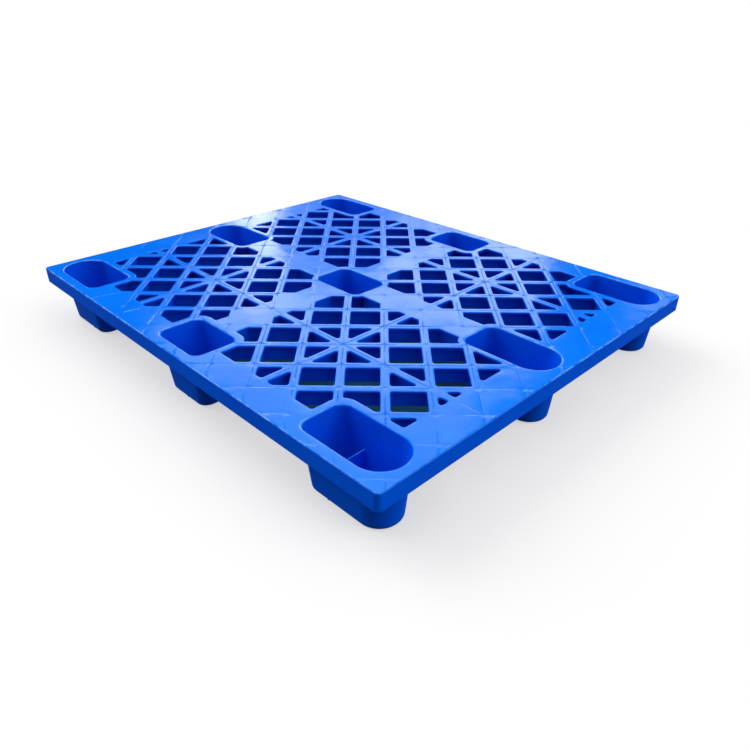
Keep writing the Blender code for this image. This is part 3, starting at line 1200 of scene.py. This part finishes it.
class Signal:
    """A shader value, so that sums and products of values read as plain maths."""

    def __init__(self, graph: ShaderGraph, socket: Socket) -> None:
        """Wrap a socket of a graph."""
        self.graph = graph
        self.socket = socket

    def math(self, operation: str, *others: Signal | float) -> Signal:
        """Return the result of a Math node on this value and others."""
        return self.graph.math(operation, self, *others)

    def __add__(self, other: Signal | float) -> Signal:
        """Return the sum."""
        return self.math("ADD", other)

    __radd__ = __add__

    def __sub__(self, other: Signal | float) -> Signal:
        """Return the difference."""
        return self.math("SUBTRACT", other)

    def __rsub__(self, other: float) -> Signal:
        """Return the difference from a number."""
        return self.graph.math("SUBTRACT", other, self)

    def __mul__(self, other: Signal | float) -> Signal:
        """Return the product."""
        return self.math("MULTIPLY", other)

    __rmul__ = __mul__

    def __truediv__(self, other: Signal | float) -> Signal:
        """Return the quotient."""
        return self.math("DIVIDE", other)

    def __abs__(self) -> Signal:
        """Return the size without its sign."""
        return self.math("ABSOLUTE")

    def most(self, other: Signal | float) -> Signal:
        """Return the larger of two values."""
        return self.math("MAXIMUM", other)

    def least(self, other: Signal | float) -> Signal:
        """Return the smaller of two values."""
        return self.math("MINIMUM", other)

    def raised(self, floor_value: float) -> Signal:
        """Return a share between 0 and 1, drawn in to lie between a floor value and 1."""
        return self * (1.0 - floor_value) + floor_value

    def ramp(self, start: float, end: float) -> Signal:
        """Turn the value into a share that eases from 0 to 1 between a start and an end.

        Args:
            start: where the share is 0.
            end: where the share is 1, below the start or above it.

        Returns:
            The share, 0 or 1 past either place.
        """
        settings = {"interpolation_type": "SMOOTHSTEP", "clamp": True}
        inputs = {"Value": self, "From Min": min(start, end), "From Max": max(start, end)}
        rising = self.graph.signal(self.graph.node("ShaderNodeMapRange", settings, inputs), "Result")
        return rising if start < end else 1.0 - rising


def distance(across: Signal, along: Signal) -> Signal:
    """Return the straight distance that two distances, square to each other, make up."""
    return (across * across + along * along).math("SQRT")


class ShaderGraph:
    """A node tree that is written as expressions."""

    def __init__(self, tree: bpy.types.NodeTree) -> None:
        """Start from an empty tree."""
        self.tree = tree
        tree.nodes.clear()

    def node(self, kind: str, settings: dict[str, Any] | None = None,
             inputs: dict[str | int, Any] | None = None) -> bpy.types.Node:
        """Add a node.

        Args:
            kind: the node's type.
            settings: its properties, which are set first.
            inputs: values, or signals and sockets to link, by the input's name or number.

        Returns:
            The node.
        """
        node = self.tree.nodes.new(kind)
        for name, value in (settings or {}).items():
            setattr(node, name, value)
        for name, value in (inputs or {}).items():
            socket = value.socket if isinstance(value, Signal) else value
            if isinstance(socket, Socket):
                self.tree.links.new(socket, node.inputs[name])
            else:
                node.inputs[name].default_value = socket
        return node

    def signal(self, node: bpy.types.Node, output: str | int) -> Signal:
        """Return one output of a node as a value."""
        return Signal(self, node.outputs[output])

    def math(self, operation: str, *values: Signal | float) -> Signal:
        """Return the result of a Math node."""
        node = self.node("ShaderNodeMath", {"operation": operation}, dict(enumerate(values)))
        return self.signal(node, 0)

    def noise(self, vector: Socket, scale: float, detail: float = 2.0, roughness: float = 0.5) -> Signal:
        """Return a soft random pattern.

        Args:
            vector: the place.
            scale: how many features it has to the metre.
            detail: how many finer layers it has.
            roughness: how strong those are.

        Returns:
            A value between 0 and 1.
        """
        inputs = {"Vector": vector, "Scale": scale, "Detail": detail, "Roughness": roughness}
        return self.signal(self.node("ShaderNodeTexNoise", {"noise_dimensions": "3D"}, inputs), 0)

    def mix(self, share: Signal, colour: Any, other: Any) -> Socket:
        """Return a colour mixed with a share of another."""
        inputs = {0: share, 6: colour, 7: other}
        return self.node("ShaderNodeMix", {"data_type": "RGBA"}, inputs).outputs[2]

    def split(self, vector: Socket) -> list[Signal]:
        """Return a vector's three parts."""
        node = self.node("ShaderNodeSeparateXYZ", inputs={0: vector})
        return [self.signal(node, axis) for axis in "XYZ"]


@dataclass(frozen=True)
class Place:
    """The place on an object that a material is drawn for."""

    graph: ShaderGraph
    vector: Socket
    x: Signal
    y: Signal

    @classmethod
    def on_object(cls, graph: ShaderGraph) -> Place:
        """Read the place in the object's own coordinates.

        Args:
            graph: the nodes of the material.

        Returns:
            The place.
        """
        vector = graph.node("ShaderNodeTexCoord").outputs["Object"]
        x, y, _ = graph.split(vector)
        return cls(graph, vector, x, y)

    @property
    def diagonals(self) -> tuple[Signal, Signal]:
        """Return where the two diagonals through the place cross the X axis."""
        return self.x + self.y, self.x - self.y

    def inside_deck(self, sizes: PalletSizes) -> Signal:
        """Return how far in from the deck's straight sides the place lies, less than 0 outside."""
        return (sizes.length / 2 - abs(self.x)).least(sizes.width / 2 - abs(self.y))

    def noise(self, scale: float, **layers: float) -> Signal:
        """Return a soft random pattern over the object, its finer layers as the graph takes them."""
        return self.graph.noise(self.vector, scale, **layers)


def new_material(name: str) -> tuple[bpy.types.Material, ShaderGraph]:
    """Make a material with no nodes yet.

    Args:
        name: the material's name.

    Returns:
        The material and its nodes.
    """
    material = bpy.data.materials.new(name)
    material.use_nodes = True
    return material, ShaderGraph(material.node_tree)


def grey(level: float) -> Colour:
    """Return an opaque grey of a level."""
    return (level, level, level, 1.0)


@dataclass(frozen=True)
class Scratch:
    """A rubbed streak on the deck, from one plan point to another."""

    start: PlanPoint
    end: PlanPoint
    half_w: float
    strength: float

    def mask(self, place: Place) -> Signal:
        """Draw the streak.

        Args:
            place: the place on the deck.

        Returns:
            The streak's strength along its middle, falling to 0 beside it.
        """
        start = Vector(self.start)
        run = Vector(self.end) - start
        across, up = place.x - start.x, place.y - start.y
        along = ((across * run.x + up * run.y) / run.length_squared).most(0.0).least(1.0)
        away = distance(across - along * run.x, up - along * run.y)
        return away.ramp(self.half_w, 0.0) * self.strength


@dataclass(frozen=True)
class DeckMarks:
    """What moulding and use leave on the deck: sink lines, dents, bulging cells, gate marks, streaks."""

    sizes: PalletSizes
    sink_half_w: float = 0.0020
    sink_depth: float = 0.0006
    sink_scale: float = 16.0
    sink_range: Span = (0.36, 0.58)
    band_share: float = 0.35
    band_blend: float = 0.006
    dent_r: float = 0.009
    dent_depth: float = 0.00045
    dent_roughness: float = 0.12
    edge_dent_r: float = 0.007
    edge_dent_reach: float = 0.016
    bulge: float = 0.0007
    bulge_hollow: float = 0.4
    gate_r: float = 0.0028
    gate_depth: float = 0.0006
    gate_reach: Span = (1.3, 1.2)
    scuff_strength: float = 0.10
    scuff_roughness: float = 0.2
    patch_scale: float = 11.0
    patch_range: Span = (0.52, 0.70)
    streak_turns: tuple[float, ...] = (35.0, -50.0)
    streak_stretch: float = 26.0
    streak_scale: float = 24.0
    streak_range: Span = (0.62, 0.72)
    break_scale: float = 130.0
    break_range: Span = (0.30, 0.60)
    fresh_place: PlanPoint = (0.600, -0.300)
    fresh_r: Span = (0.16, 0.30)
    fresh_wear_and_highlight: float = 0.15
    scratches: tuple[Scratch, ...] = (
        Scratch((-0.331, -0.489), (-0.318, -0.433), half_w=0.0022, strength=0.30),
        Scratch((-0.211, -0.477), (-0.203, -0.441), half_w=0.0040, strength=0.45),
        Scratch((-0.151, -0.438), (-0.123, -0.4675), half_w=0.0020, strength=0.75),
        Scratch((-0.244, -0.466), (-0.242, -0.464), half_w=0.0025, strength=0.50),
    )

    @property
    def spacing(self) -> float:
        """Return how far apart the diagonal ribs of one direction cross the X axis."""
        return 2 * self.sizes.half_pitch

    @property
    def hub(self) -> float:
        """Return how far from the middle the hubs lie, along X and along Y."""
        return self.sizes.hub_step * self.sizes.half_pitch

    def from_diagonals(self, place: Place) -> tuple[Signal, Signal]:
        """Return the distances to the nearest diagonal rib of either direction."""
        step = self.spacing / sqrt(2)
        return tuple((way / self.spacing).math("PINGPONG", 0.5) * step for way in place.diagonals)

    def sink(self, place: Place) -> Signal:
        """Draw the sink lines where the ribs show through.

        Args:
            place: the place on the deck.

        Returns:
            A share of 1 along the middle of the ribs, falling to 0 beside them.
        """
        one, other = self.from_diagonals(place)
        from_axis_ribs = abs(abs(place.x) - self.hub).least(abs(abs(place.y) - self.hub))
        shown = place.noise(self.sink_scale, detail=3.0).ramp(*self.sink_range)
        nearest = one.least(other).least(from_axis_ribs)
        return nearest.ramp(self.sink_half_w, 0.0) * shown * self.in_panels(place)

    def in_panels(self, place: Place) -> Signal:
        """Mark the lattice panels, where the bars are narrow.

        Args:
            place: the place on the deck.

        Returns:
            A share of 1 in the panels and a smaller one on the solid bands.
        """
        ways = ((abs(place.x), self.sizes.open_x), (abs(place.y), self.sizes.open_y))
        along, across = ((way - near).least(far - way) for way, (near, far) in ways)
        return along.least(across).ramp(-self.band_blend, self.band_blend).raised(self.band_share)

    def dents(self, place: Place) -> Signal:
        """Draw the dents where ribs cross each other or meet the deck's edge.

        Args:
            place: the place on the deck.

        Returns:
            A share of 1 in the middle of a dent, falling to 0 around it.
        """
        one, other = self.from_diagonals(place)
        crossing = distance(one, other).ramp(self.dent_r, 0.0)
        at_edge = place.inside_deck(self.sizes).ramp(self.edge_dent_reach, self.sizes.edge_r)
        return crossing.most(at_edge * one.least(other).ramp(self.edge_dent_r, 0.0))

    def bulges(self, place: Place) -> Signal:
        """Draw the swelling of the cells between the ribs.

        Args:
            place: the place on the deck.

        Returns:
            How far each cell swells, by its own random share, falling to 0 at the cell's sides.
        """
        graph = place.graph
        ways = [way / self.spacing for way in place.diagonals]
        corner = {axis: way.math("FLOOR") for axis, way in enumerate(ways)}
        cell = graph.node("ShaderNodeCombineXYZ", inputs=corner).outputs[0]
        share = graph.node("ShaderNodeTexWhiteNoise", {"noise_dimensions": "2D"}, {"Vector": cell})
        swell = graph.signal(share, "Value") - self.bulge_hollow
        for way in ways:
            from_middle = (way.math("FRACT") - 0.5) * 2.0
            swell = swell * (1.0 - from_middle * from_middle)
        return swell

    def gates(self, place: Place) -> Signal:
        """Draw the small injection marks at the hubs and on the cross.

        Args:
            place: the place on the deck.

        Returns:
            A share of 1 on a mark and 0 elsewhere.
        """
        across, along = ((way / self.hub).math("PINGPONG", 0.5) * self.hub for way in (place.x, place.y))
        near = abs(place.x).most(abs(place.y)).ramp(*(self.hub * share for share in self.gate_reach))
        return distance(across, along).ramp(self.gate_r, self.gate_r / 2) * near

    def rubbed_edges_and_highlight(self, place: Place) -> Signal:
        """Return the share of the pale edge mark, rubbing and painted highlight, that is kept: least
        round one place on the right end's front half.
        """
        away = distance(place.x - self.fresh_place[0], place.y - self.fresh_place[1])
        return away.ramp(*self.fresh_r).raised(self.fresh_wear_and_highlight)

    def streaks(self, place: Place, turn: float) -> Signal:
        """Draw fine streaks that run in one direction.

        Args:
            place: the place on the deck.
            turn: the direction in degrees.

        Returns:
            A share of 1 on a streak and 0 beside it.
        """
        stretched = place.graph.node("ShaderNodeMapping", inputs={
            "Vector": place.vector,
            "Rotation": (0, 0, radians(turn)),
            "Scale": (1.0, self.streak_stretch, 1.0),
        })
        return place.graph.noise(stretched.outputs[0], self.streak_scale).ramp(*self.streak_range)

    def scuffs(self, place: Place) -> Signal:
        """Draw the rubbed streaks: faint ones in two directions, gathered in patches, and the bold ones.

        Args:
            place: the place on the deck.

        Returns:
            How strongly each place is rubbed, between 0 and 1.
        """
        patches = place.noise(self.patch_scale).ramp(*self.patch_range) * self.scuff_strength
        one, other = (self.streaks(place, turn) for turn in self.streak_turns)
        rubbed = one.most(other) * patches
        broken = place.noise(self.break_scale).ramp(*self.break_range)
        for scratch in self.scratches:
            rubbed = rubbed.most(scratch.mask(place) * broken)
        return rubbed


@dataclass(frozen=True)
class MouldedPlastic:
    """Moulded blue polyethylene after some use: a clouded colour, a fine grain, pale rubbed edges that
    also carry a painted highlight, and on the deck painted shade in the sink lines.
    """

    name: str
    colour: Colour
    lighter: Colour
    specular: float
    roughness: float
    marks: DeckMarks | None = None
    worn_and_highlight: Colour = (0.260, 0.540, 1.000, 1.0)
    # The dark colour of the gate marks and of the painted shade along the sink lines.
    sink_shade_and_gate_mark: Colour = (0.001, 0.040, 0.260, 1.0)
    ior: float = 1.5
    roughness_spread: float = 0.06
    cloud_scale: float = 7.0
    cloud_range: Span = (0.35, 0.70)
    wave_scale: float = 22.0
    wave_depth: float = 0.00055
    grain_scale: float = 900.0
    grain_depth: float = 0.00002
    wear_and_highlight_scale: float = 45.0
    wear_and_highlight_range: Span = (0.36, 0.64)
    wear_and_highlight_share: float = 0.75
    wear_and_highlight_roughness: float = 0.1
    # Painted shade: how far the sink lines are darkened in colour, beside their real groove.
    sink_shade: float = 0.28
    gate_shade: float = 0.7

    def material(self) -> bpy.types.Material:
        """Make the material: colour, roughness and relief, with the marks if it has them.

        Returns:
            The material.
        """
        material, graph = new_material(self.name)
        place = Place.on_object(graph)
        cloud = place.noise(self.cloud_scale, detail=3.0, roughness=0.6)
        # The pale edge mark, partly rubbing and partly painted highlight, read from the mesh.
        wear_and_highlight = graph.signal(graph.node("ShaderNodeAttribute", {"attribute_name": EDGE_WEAR_AND_HIGHLIGHT}), "Fac")
        patchy = place.noise(self.wear_and_highlight_scale, detail=3.0, roughness=0.7)
        wear_and_highlight = wear_and_highlight * patchy.ramp(*self.wear_and_highlight_range)
        colour = graph.mix(cloud.ramp(*self.cloud_range), self.colour, self.lighter)
        if self.marks:
            wear_and_highlight = wear_and_highlight * self.marks.rubbed_edges_and_highlight(place)
        pale = wear_and_highlight * self.wear_and_highlight_share
        roughness = self.roughness + (cloud - 0.5) * self.roughness_spread + wear_and_highlight * self.wear_and_highlight_roughness
        height = place.noise(self.wave_scale, detail=1.0) * self.wave_depth
        height = height + place.noise(self.grain_scale, detail=1.0) * self.grain_depth
        if self.marks:
            sink = self.marks.sink(place)
            gate = self.marks.gates(place)
            dents = self.marks.dents(place)
            scuff = self.marks.scuffs(place)
            pale = pale.most(scuff)
            roughness = roughness + scuff * self.marks.scuff_roughness + dents * self.marks.dent_roughness
            height = height + self.marks.bulges(place) * self.marks.bulge
            height = height - sink * self.marks.sink_depth - dents * self.marks.dent_depth
            height = height - gate * self.marks.gate_depth
            # Painted shade along the sink lines, standing for their dark reflection; the gate marks are
            # darkened too.
            colour = graph.mix((sink * self.sink_shade).most(gate * self.gate_shade), colour, self.sink_shade_and_gate_mark)
        # Pale mix: rubbed edges and scuffs, together with the painted highlight along edges and rims.
        colour = graph.mix(pale, colour, self.worn_and_highlight)
        bump = graph.node("ShaderNodeBump", inputs={"Strength": 1.0, "Distance": 1.0, "Height": height})
        shader = graph.node("ShaderNodeBsdfPrincipled", inputs={
            "Base Color": colour,
            "Roughness": roughness,
            "Normal": bump.outputs["Normal"],
            "Specular IOR Level": self.specular,
            "IOR": self.ior,
        })
        graph.node("ShaderNodeOutputMaterial", inputs={"Surface": shader.outputs[0]})
        return material


def plastics(sizes: PalletSizes) -> dict[Finish, MouldedPlastic]:
    """Set out the plastic of each finish: one blue in copies for light and shade, the deck's the lit one,
    the skirt's deeper and the ribs' and legs' darker as painted shade on the sides and in the hollows.

    Args:
        sizes: the moulding's sizes, which the deck's marks follow.

    Returns:
        The plastics by finish.
    """
    return {
        Finish.DECK: MouldedPlastic("deck_plastic", colour=(0.0003, 0.152, 0.800, 1.0),
                                    lighter=(0.0008, 0.168, 0.840, 1.0), specular=0.5, roughness=0.13,
                                    marks=DeckMarks(sizes)),
        Finish.SKIRT: MouldedPlastic("skirt_plastic", colour=(0.0004, 0.108, 0.900, 1.0),
                                     lighter=(0.0006, 0.120, 0.930, 1.0), specular=0.01, roughness=0.55),
        Finish.RIB: MouldedPlastic("rib_plastic_painted_shade", colour=(0.0005, 0.083, 0.750, 1.0),
                                   lighter=(0.0007, 0.095, 0.790, 1.0), specular=0.01, roughness=0.6),
        Finish.LEG: MouldedPlastic("leg_plastic_painted_shade", colour=(0.0005, 0.074, 0.690, 1.0),
                                   lighter=(0.0008, 0.086, 0.730, 1.0), specular=0.01, roughness=0.6),
    }


@dataclass(frozen=True)
class PhotoCamera:
    """The camera that the photograph was taken with, for a square picture, its angles in degrees."""

    place: tuple[float, float, float] = (1.0823, -0.9881, 0.7349)
    heading: float = 45.15
    pitch: float = -30.78
    roll: float = 0.43
    focal_px: float = 643.1
    picture_px: float = 750.0
    sensor_mm: float = 36.0
    farthest: float = 400.0

    def build(self) -> bpy.types.Object:
        """Make the camera and set it as the scene's own.

        Returns:
            The camera.
        """
        data = bpy.data.cameras.new("photo_camera")
        data.sensor_width = self.sensor_mm
        data.lens = self.focal_px / self.picture_px * self.sensor_mm
        data.clip_end = self.farthest
        camera = add_object("photo_camera", data)
        turn = Matrix.Rotation(radians(self.heading), 4, "Z")
        turn = turn @ Matrix.Rotation(radians(90.0 + self.pitch), 4, "X")
        turn = turn @ Matrix.Rotation(radians(self.roll), 4, "Z")
        camera.matrix_world = Matrix.Translation(self.place) @ turn
        bpy.context.scene.camera = camera
        return camera


@dataclass(frozen=True)
class Reflector:
    """A soft bright panel that shows in the deck, by the bearings and heights of its sides in degrees."""

    right: float
    left: float
    low: float
    high: float
    level: float
    soft_side: float = 0.9
    soft_end: float = 1.5

    def brightness(self, turn: Signal, rise: Signal) -> Signal:
        """Draw the panel, soft at its sides.

        Args:
            turn: the bearing of the direction in degrees.
            rise: the height of the direction in degrees.

        Returns:
            The panel's brightness in that direction.
        """
        across = turn.ramp(self.right - self.soft_side, self.right + self.soft_side)
        across = across * turn.ramp(self.left + self.soft_side, self.left - self.soft_side)
        upright = rise.ramp(self.low - self.soft_end, self.low + self.soft_end)
        upright = upright * rise.ramp(self.high + self.soft_end, self.high - self.soft_end)
        return across * upright * self.level


@dataclass(frozen=True)
class SoftLight:
    """A large soft light, left out of the reflections.

    Its level is what a white floor shows of it, and its angles are in degrees.
    """

    name: str
    level: float
    azimuth: float
    elevation: float
    angle: float

    def build(self) -> bpy.types.Object:
        """Make the light.

        Returns:
            The light, which is the same all over the floor.
        """
        azimuth = radians(self.azimuth)
        elevation = radians(self.elevation)
        data = bpy.data.lights.new(self.name, "SUN")
        data.energy = self.level * pi / sin(elevation)
        data.angle = radians(self.angle)
        light = add_object(self.name, data)
        light.visible_glossy = False
        towards = Vector((cos(azimuth) * cos(elevation), sin(azimuth) * cos(elevation), sin(elevation)))
        light.rotation_mode = "QUATERNION"
        light.rotation_quaternion = towards.to_track_quat("Z", "Y")
        return light


@dataclass(frozen=True)
class Studio:
    """A pale floor with painted shade under the deck, under soft light, with bright panels before and
    behind the pallet.
    """

    sizes: PalletSizes
    floor_half: float = 150.0
    floor_white: float = 0.74
    floor_bounce: float = 0.08
    # Painted shade: the floor's dark, blue-green colour deep under the deck, and how far in from the
    # edges it reaches.
    painted_floor_shade: Colour = (0.020, 0.110, 0.150, 1.0)
    painted_shade_reach: Span = (0.09, 0.20)
    floor_glow: float = 0.55
    ambient: float = 0.12
    lights: tuple[SoftLight, ...] = (
        SoftLight("key", level=0.66, azimuth=135.0, elevation=76.0, angle=110.0),
        SoftLight("right_side", level=0.225, azimuth=28.0, elevation=32.0, angle=50.0),
        SoftLight("left_side", level=0.40, azimuth=-164.0, elevation=32.0, angle=50.0),
    )
    facing: float = 134.0
    reflectors: tuple[Reflector, ...] = (
        Reflector(right=122.0, left=151.5, low=36.5, high=48.0, level=0.62),
        Reflector(right=124.4, left=141.5, low=28.5, high=36.5, level=0.90, soft_side=1.3),
        Reflector(right=141.5, left=151.5, low=28.5, high=36.5, level=0.58, soft_side=2.5),
        Reflector(right=119.4, left=152.0, low=22.3, high=29.0, level=1.80),
        Reflector(right=119.4, left=134.4, low=19.9, high=22.3, level=2.80),
        Reflector(right=119.4, left=126.0, low=13.0, high=19.5, level=1.80),
        Reflector(right=126.0, left=133.5, low=13.0, high=19.5, level=0.95),
        Reflector(right=133.5, left=142.5, low=17.8, high=22.3, level=0.28),
        Reflector(right=133.5, left=144.2, low=13.0, high=17.8, level=0.34),
        Reflector(right=144.0, left=148.2, low=13.0, high=23.2, level=3.10),
        Reflector(right=134.5, left=146.0, low=25.5, high=32.5, level=0.45),
        Reflector(right=152.0, left=156.0, low=25.5, high=31.5, level=1.00),
        Reflector(right=98.0, left=112.0, low=18.0, high=22.4, level=0.90),
    )
    overhead: float = 0.8
    overhead_from: float = 48.0
    overhead_soft: float = 3.0
    mottle_scale: float = 36.0
    mottle_range: Span = (0.38, 0.62)
    mottle_least: float = 0.40
    mottle_spread: float = 1.40

    def build(self) -> None:
        """Build the floor, the world and the lights."""
        self.floor()
        self.world()
        for light in self.lights:
            light.build()

    def floor(self) -> bpy.types.Object:
        """Make the floor, white to the eye but with little bounce on to the pallet, and painted dark
        under the deck as shade.

        Returns:
            The floor.
        """
        bm = bmesh.new()
        bmesh.ops.create_grid(bm, x_segments=1, y_segments=1, size=self.floor_half)
        floor_piece = add_object("floor", finished_mesh(bm, "floor"))
        material, graph = new_material("pale_floor")
        seen = self.seen_rays(graph)
        under = self.painted_shade_under_pallet(graph)
        # Painted shade: under the deck the floor's colour turns dark and the floor loses its glow.
        floor_with_painted_shade = graph.mix(under, grey(self.floor_white), self.painted_floor_shade)
        colour = graph.mix(seen, grey(self.floor_bounce), floor_with_painted_shade)
        diffuse = graph.node("ShaderNodeBsdfDiffuse", inputs={"Color": colour})
        glow = graph.node("ShaderNodeEmission", inputs={"Color": WHITE, "Strength": 1.0})
        surface = graph.node("ShaderNodeMixShader", inputs={
            0: seen * (1.0 - under) * self.floor_glow, 1: diffuse.outputs[0], 2: glow.outputs[0]})
        graph.node("ShaderNodeOutputMaterial", inputs={"Surface": surface.outputs[0]})
        floor_piece.data.materials.append(material)
        floor_piece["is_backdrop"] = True
        return floor_piece

    def painted_shade_under_pallet(self, graph: ShaderGraph) -> Signal:
        """Return the mask of the painted shade: 1 on the floor well under the deck, where little light
        comes in, and 0 outside it.
        """
        return Place.on_object(graph).inside_deck(self.sizes).ramp(*self.painted_shade_reach)

    @staticmethod
    def seen_rays(graph: ShaderGraph) -> Signal:
        """Mark the rays that show a background: straight ones, reflections and through glass.

        Args:
            graph: the nodes of the material.

        Returns:
            A share of 1 for those rays and 0 for the others.
        """
        path = graph.node("ShaderNodeLightPath")
        seen = graph.signal(path, "Is Camera Ray").most(graph.signal(path, "Is Glossy Ray"))
        return seen.most(graph.signal(path, "Is Transmission Ray"))

    def world(self) -> None:
        """Make the world: even light all round, white to the eye, the bright panels in reflections."""
        world = bpy.data.worlds.new("studio")
        bpy.context.scene.world = world
        world.use_nodes = True
        graph = ShaderGraph(world.node_tree)
        path = graph.node("ShaderNodeLightPath")
        straight = graph.signal(path, "Is Camera Ray").most(graph.signal(path, "Is Transmission Ray"))
        reflected = graph.signal(path, "Is Glossy Ray")
        level = straight + reflected * self.mirrored(graph)
        level = level + (1.0 - straight.most(reflected)) * self.ambient
        light = graph.node("ShaderNodeBackground", inputs={"Color": WHITE, "Strength": level})
        graph.node("ShaderNodeOutputWorld", inputs={"Surface": light.outputs[0]})

    def mirrored(self, graph: ShaderGraph) -> Signal:
        """Return the brightness that the deck mirrors: the panels, alike before and behind, and overhead.

        Args:
            graph: the world's nodes.

        Returns:
            The brightness by direction, a little mottled.
        """
        way = graph.node("ShaderNodeTexCoord").outputs["Generated"]
        x, y, z = graph.split(way)
        middle = radians(self.facing)
        ahead = x * cos(middle) + y * sin(middle)
        aside = (y * cos(middle) - x * sin(middle)) * ahead.math("SIGN")
        turn = aside.math("ARCTAN2", abs(ahead)) * degrees(1.0) + self.facing
        rise = z.math("ARCSINE") * degrees(1.0)
        start = self.overhead_from - self.overhead_soft
        level = rise.ramp(start, self.overhead_from + self.overhead_soft) * self.overhead
        for reflector in self.reflectors:
            level = level + reflector.brightness(turn, rise)
        mottle = graph.noise(way, self.mottle_scale, detail=3.0).ramp(*self.mottle_range)
        return level * (mottle * self.mottle_spread + self.mottle_least)


def pallet_pieces(sizes: PalletSizes) -> Iterator[MouldedPiece]:
    """Yield every region of the pallet, under the name of the solid that it stands for.

    Args:
        sizes: the moulding's sizes.

    Yields:
        The lattice panels, rails, beams and legs.
    """
    mouths = leg_mouths(sizes)
    home = Quarter.BACK_RIGHT
    for quarter in Quarter:
        side_x, side_y = quarter.side_x, quarter.side_y
        yield LatticePanel(f"grid_{side_y}_{side_x}", sizes, quarter)
        yield EdgeRail(f"rail_{side_y}_{side_x}", sizes, quarter, along_x=True)
        yield EdgeRail(f"rail_{side_x}_{side_y}", sizes, quarter, along_x=False)
        yield Leg(f"leg_{side_y}_{side_x}", sizes, quarter, mouths["back_right"])
    for quarter in (Quarter.BACK_LEFT, home):
        yield CrossBeam(f"beam_{quarter.side_x}", sizes, quarter, along_x=True)
        yield Leg(f"leg_middle_{quarter.side_x}", sizes, quarter, mouths["middle_right"])
    for quarter in (Quarter.FRONT_RIGHT, home):
        yield CrossBeam(f"beam_{quarter.side_y}", sizes, quarter, along_x=False)
        yield Leg(f"leg_{quarter.side_y}_centre", sizes, quarter, mouths["back_centre"])
    yield Leg("leg_middle_centre", sizes, home, mouths["middle_centre"])


def main() -> None:
    """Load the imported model, build and dress its pieces, then set up the studio and the camera."""
    logging.basicConfig(level=logging.INFO, format="%(name)s: %(message)s")
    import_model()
    bpy.context.scene.view_settings.view_transform = "Standard"
    sizes = PalletSizes.from_frame()
    PhotoCamera().build()
    Studio(sizes).build()
    materials = {finish: plastic.material() for finish, plastic in plastics(sizes).items()}
    for region in pallet_pieces(sizes):
        piece = region.build()
        region.dress(piece, materials)
        LOG.info("%s: %d faces", piece.name, len(piece.data.polygons))


if __name__ == "__main__":
    main()
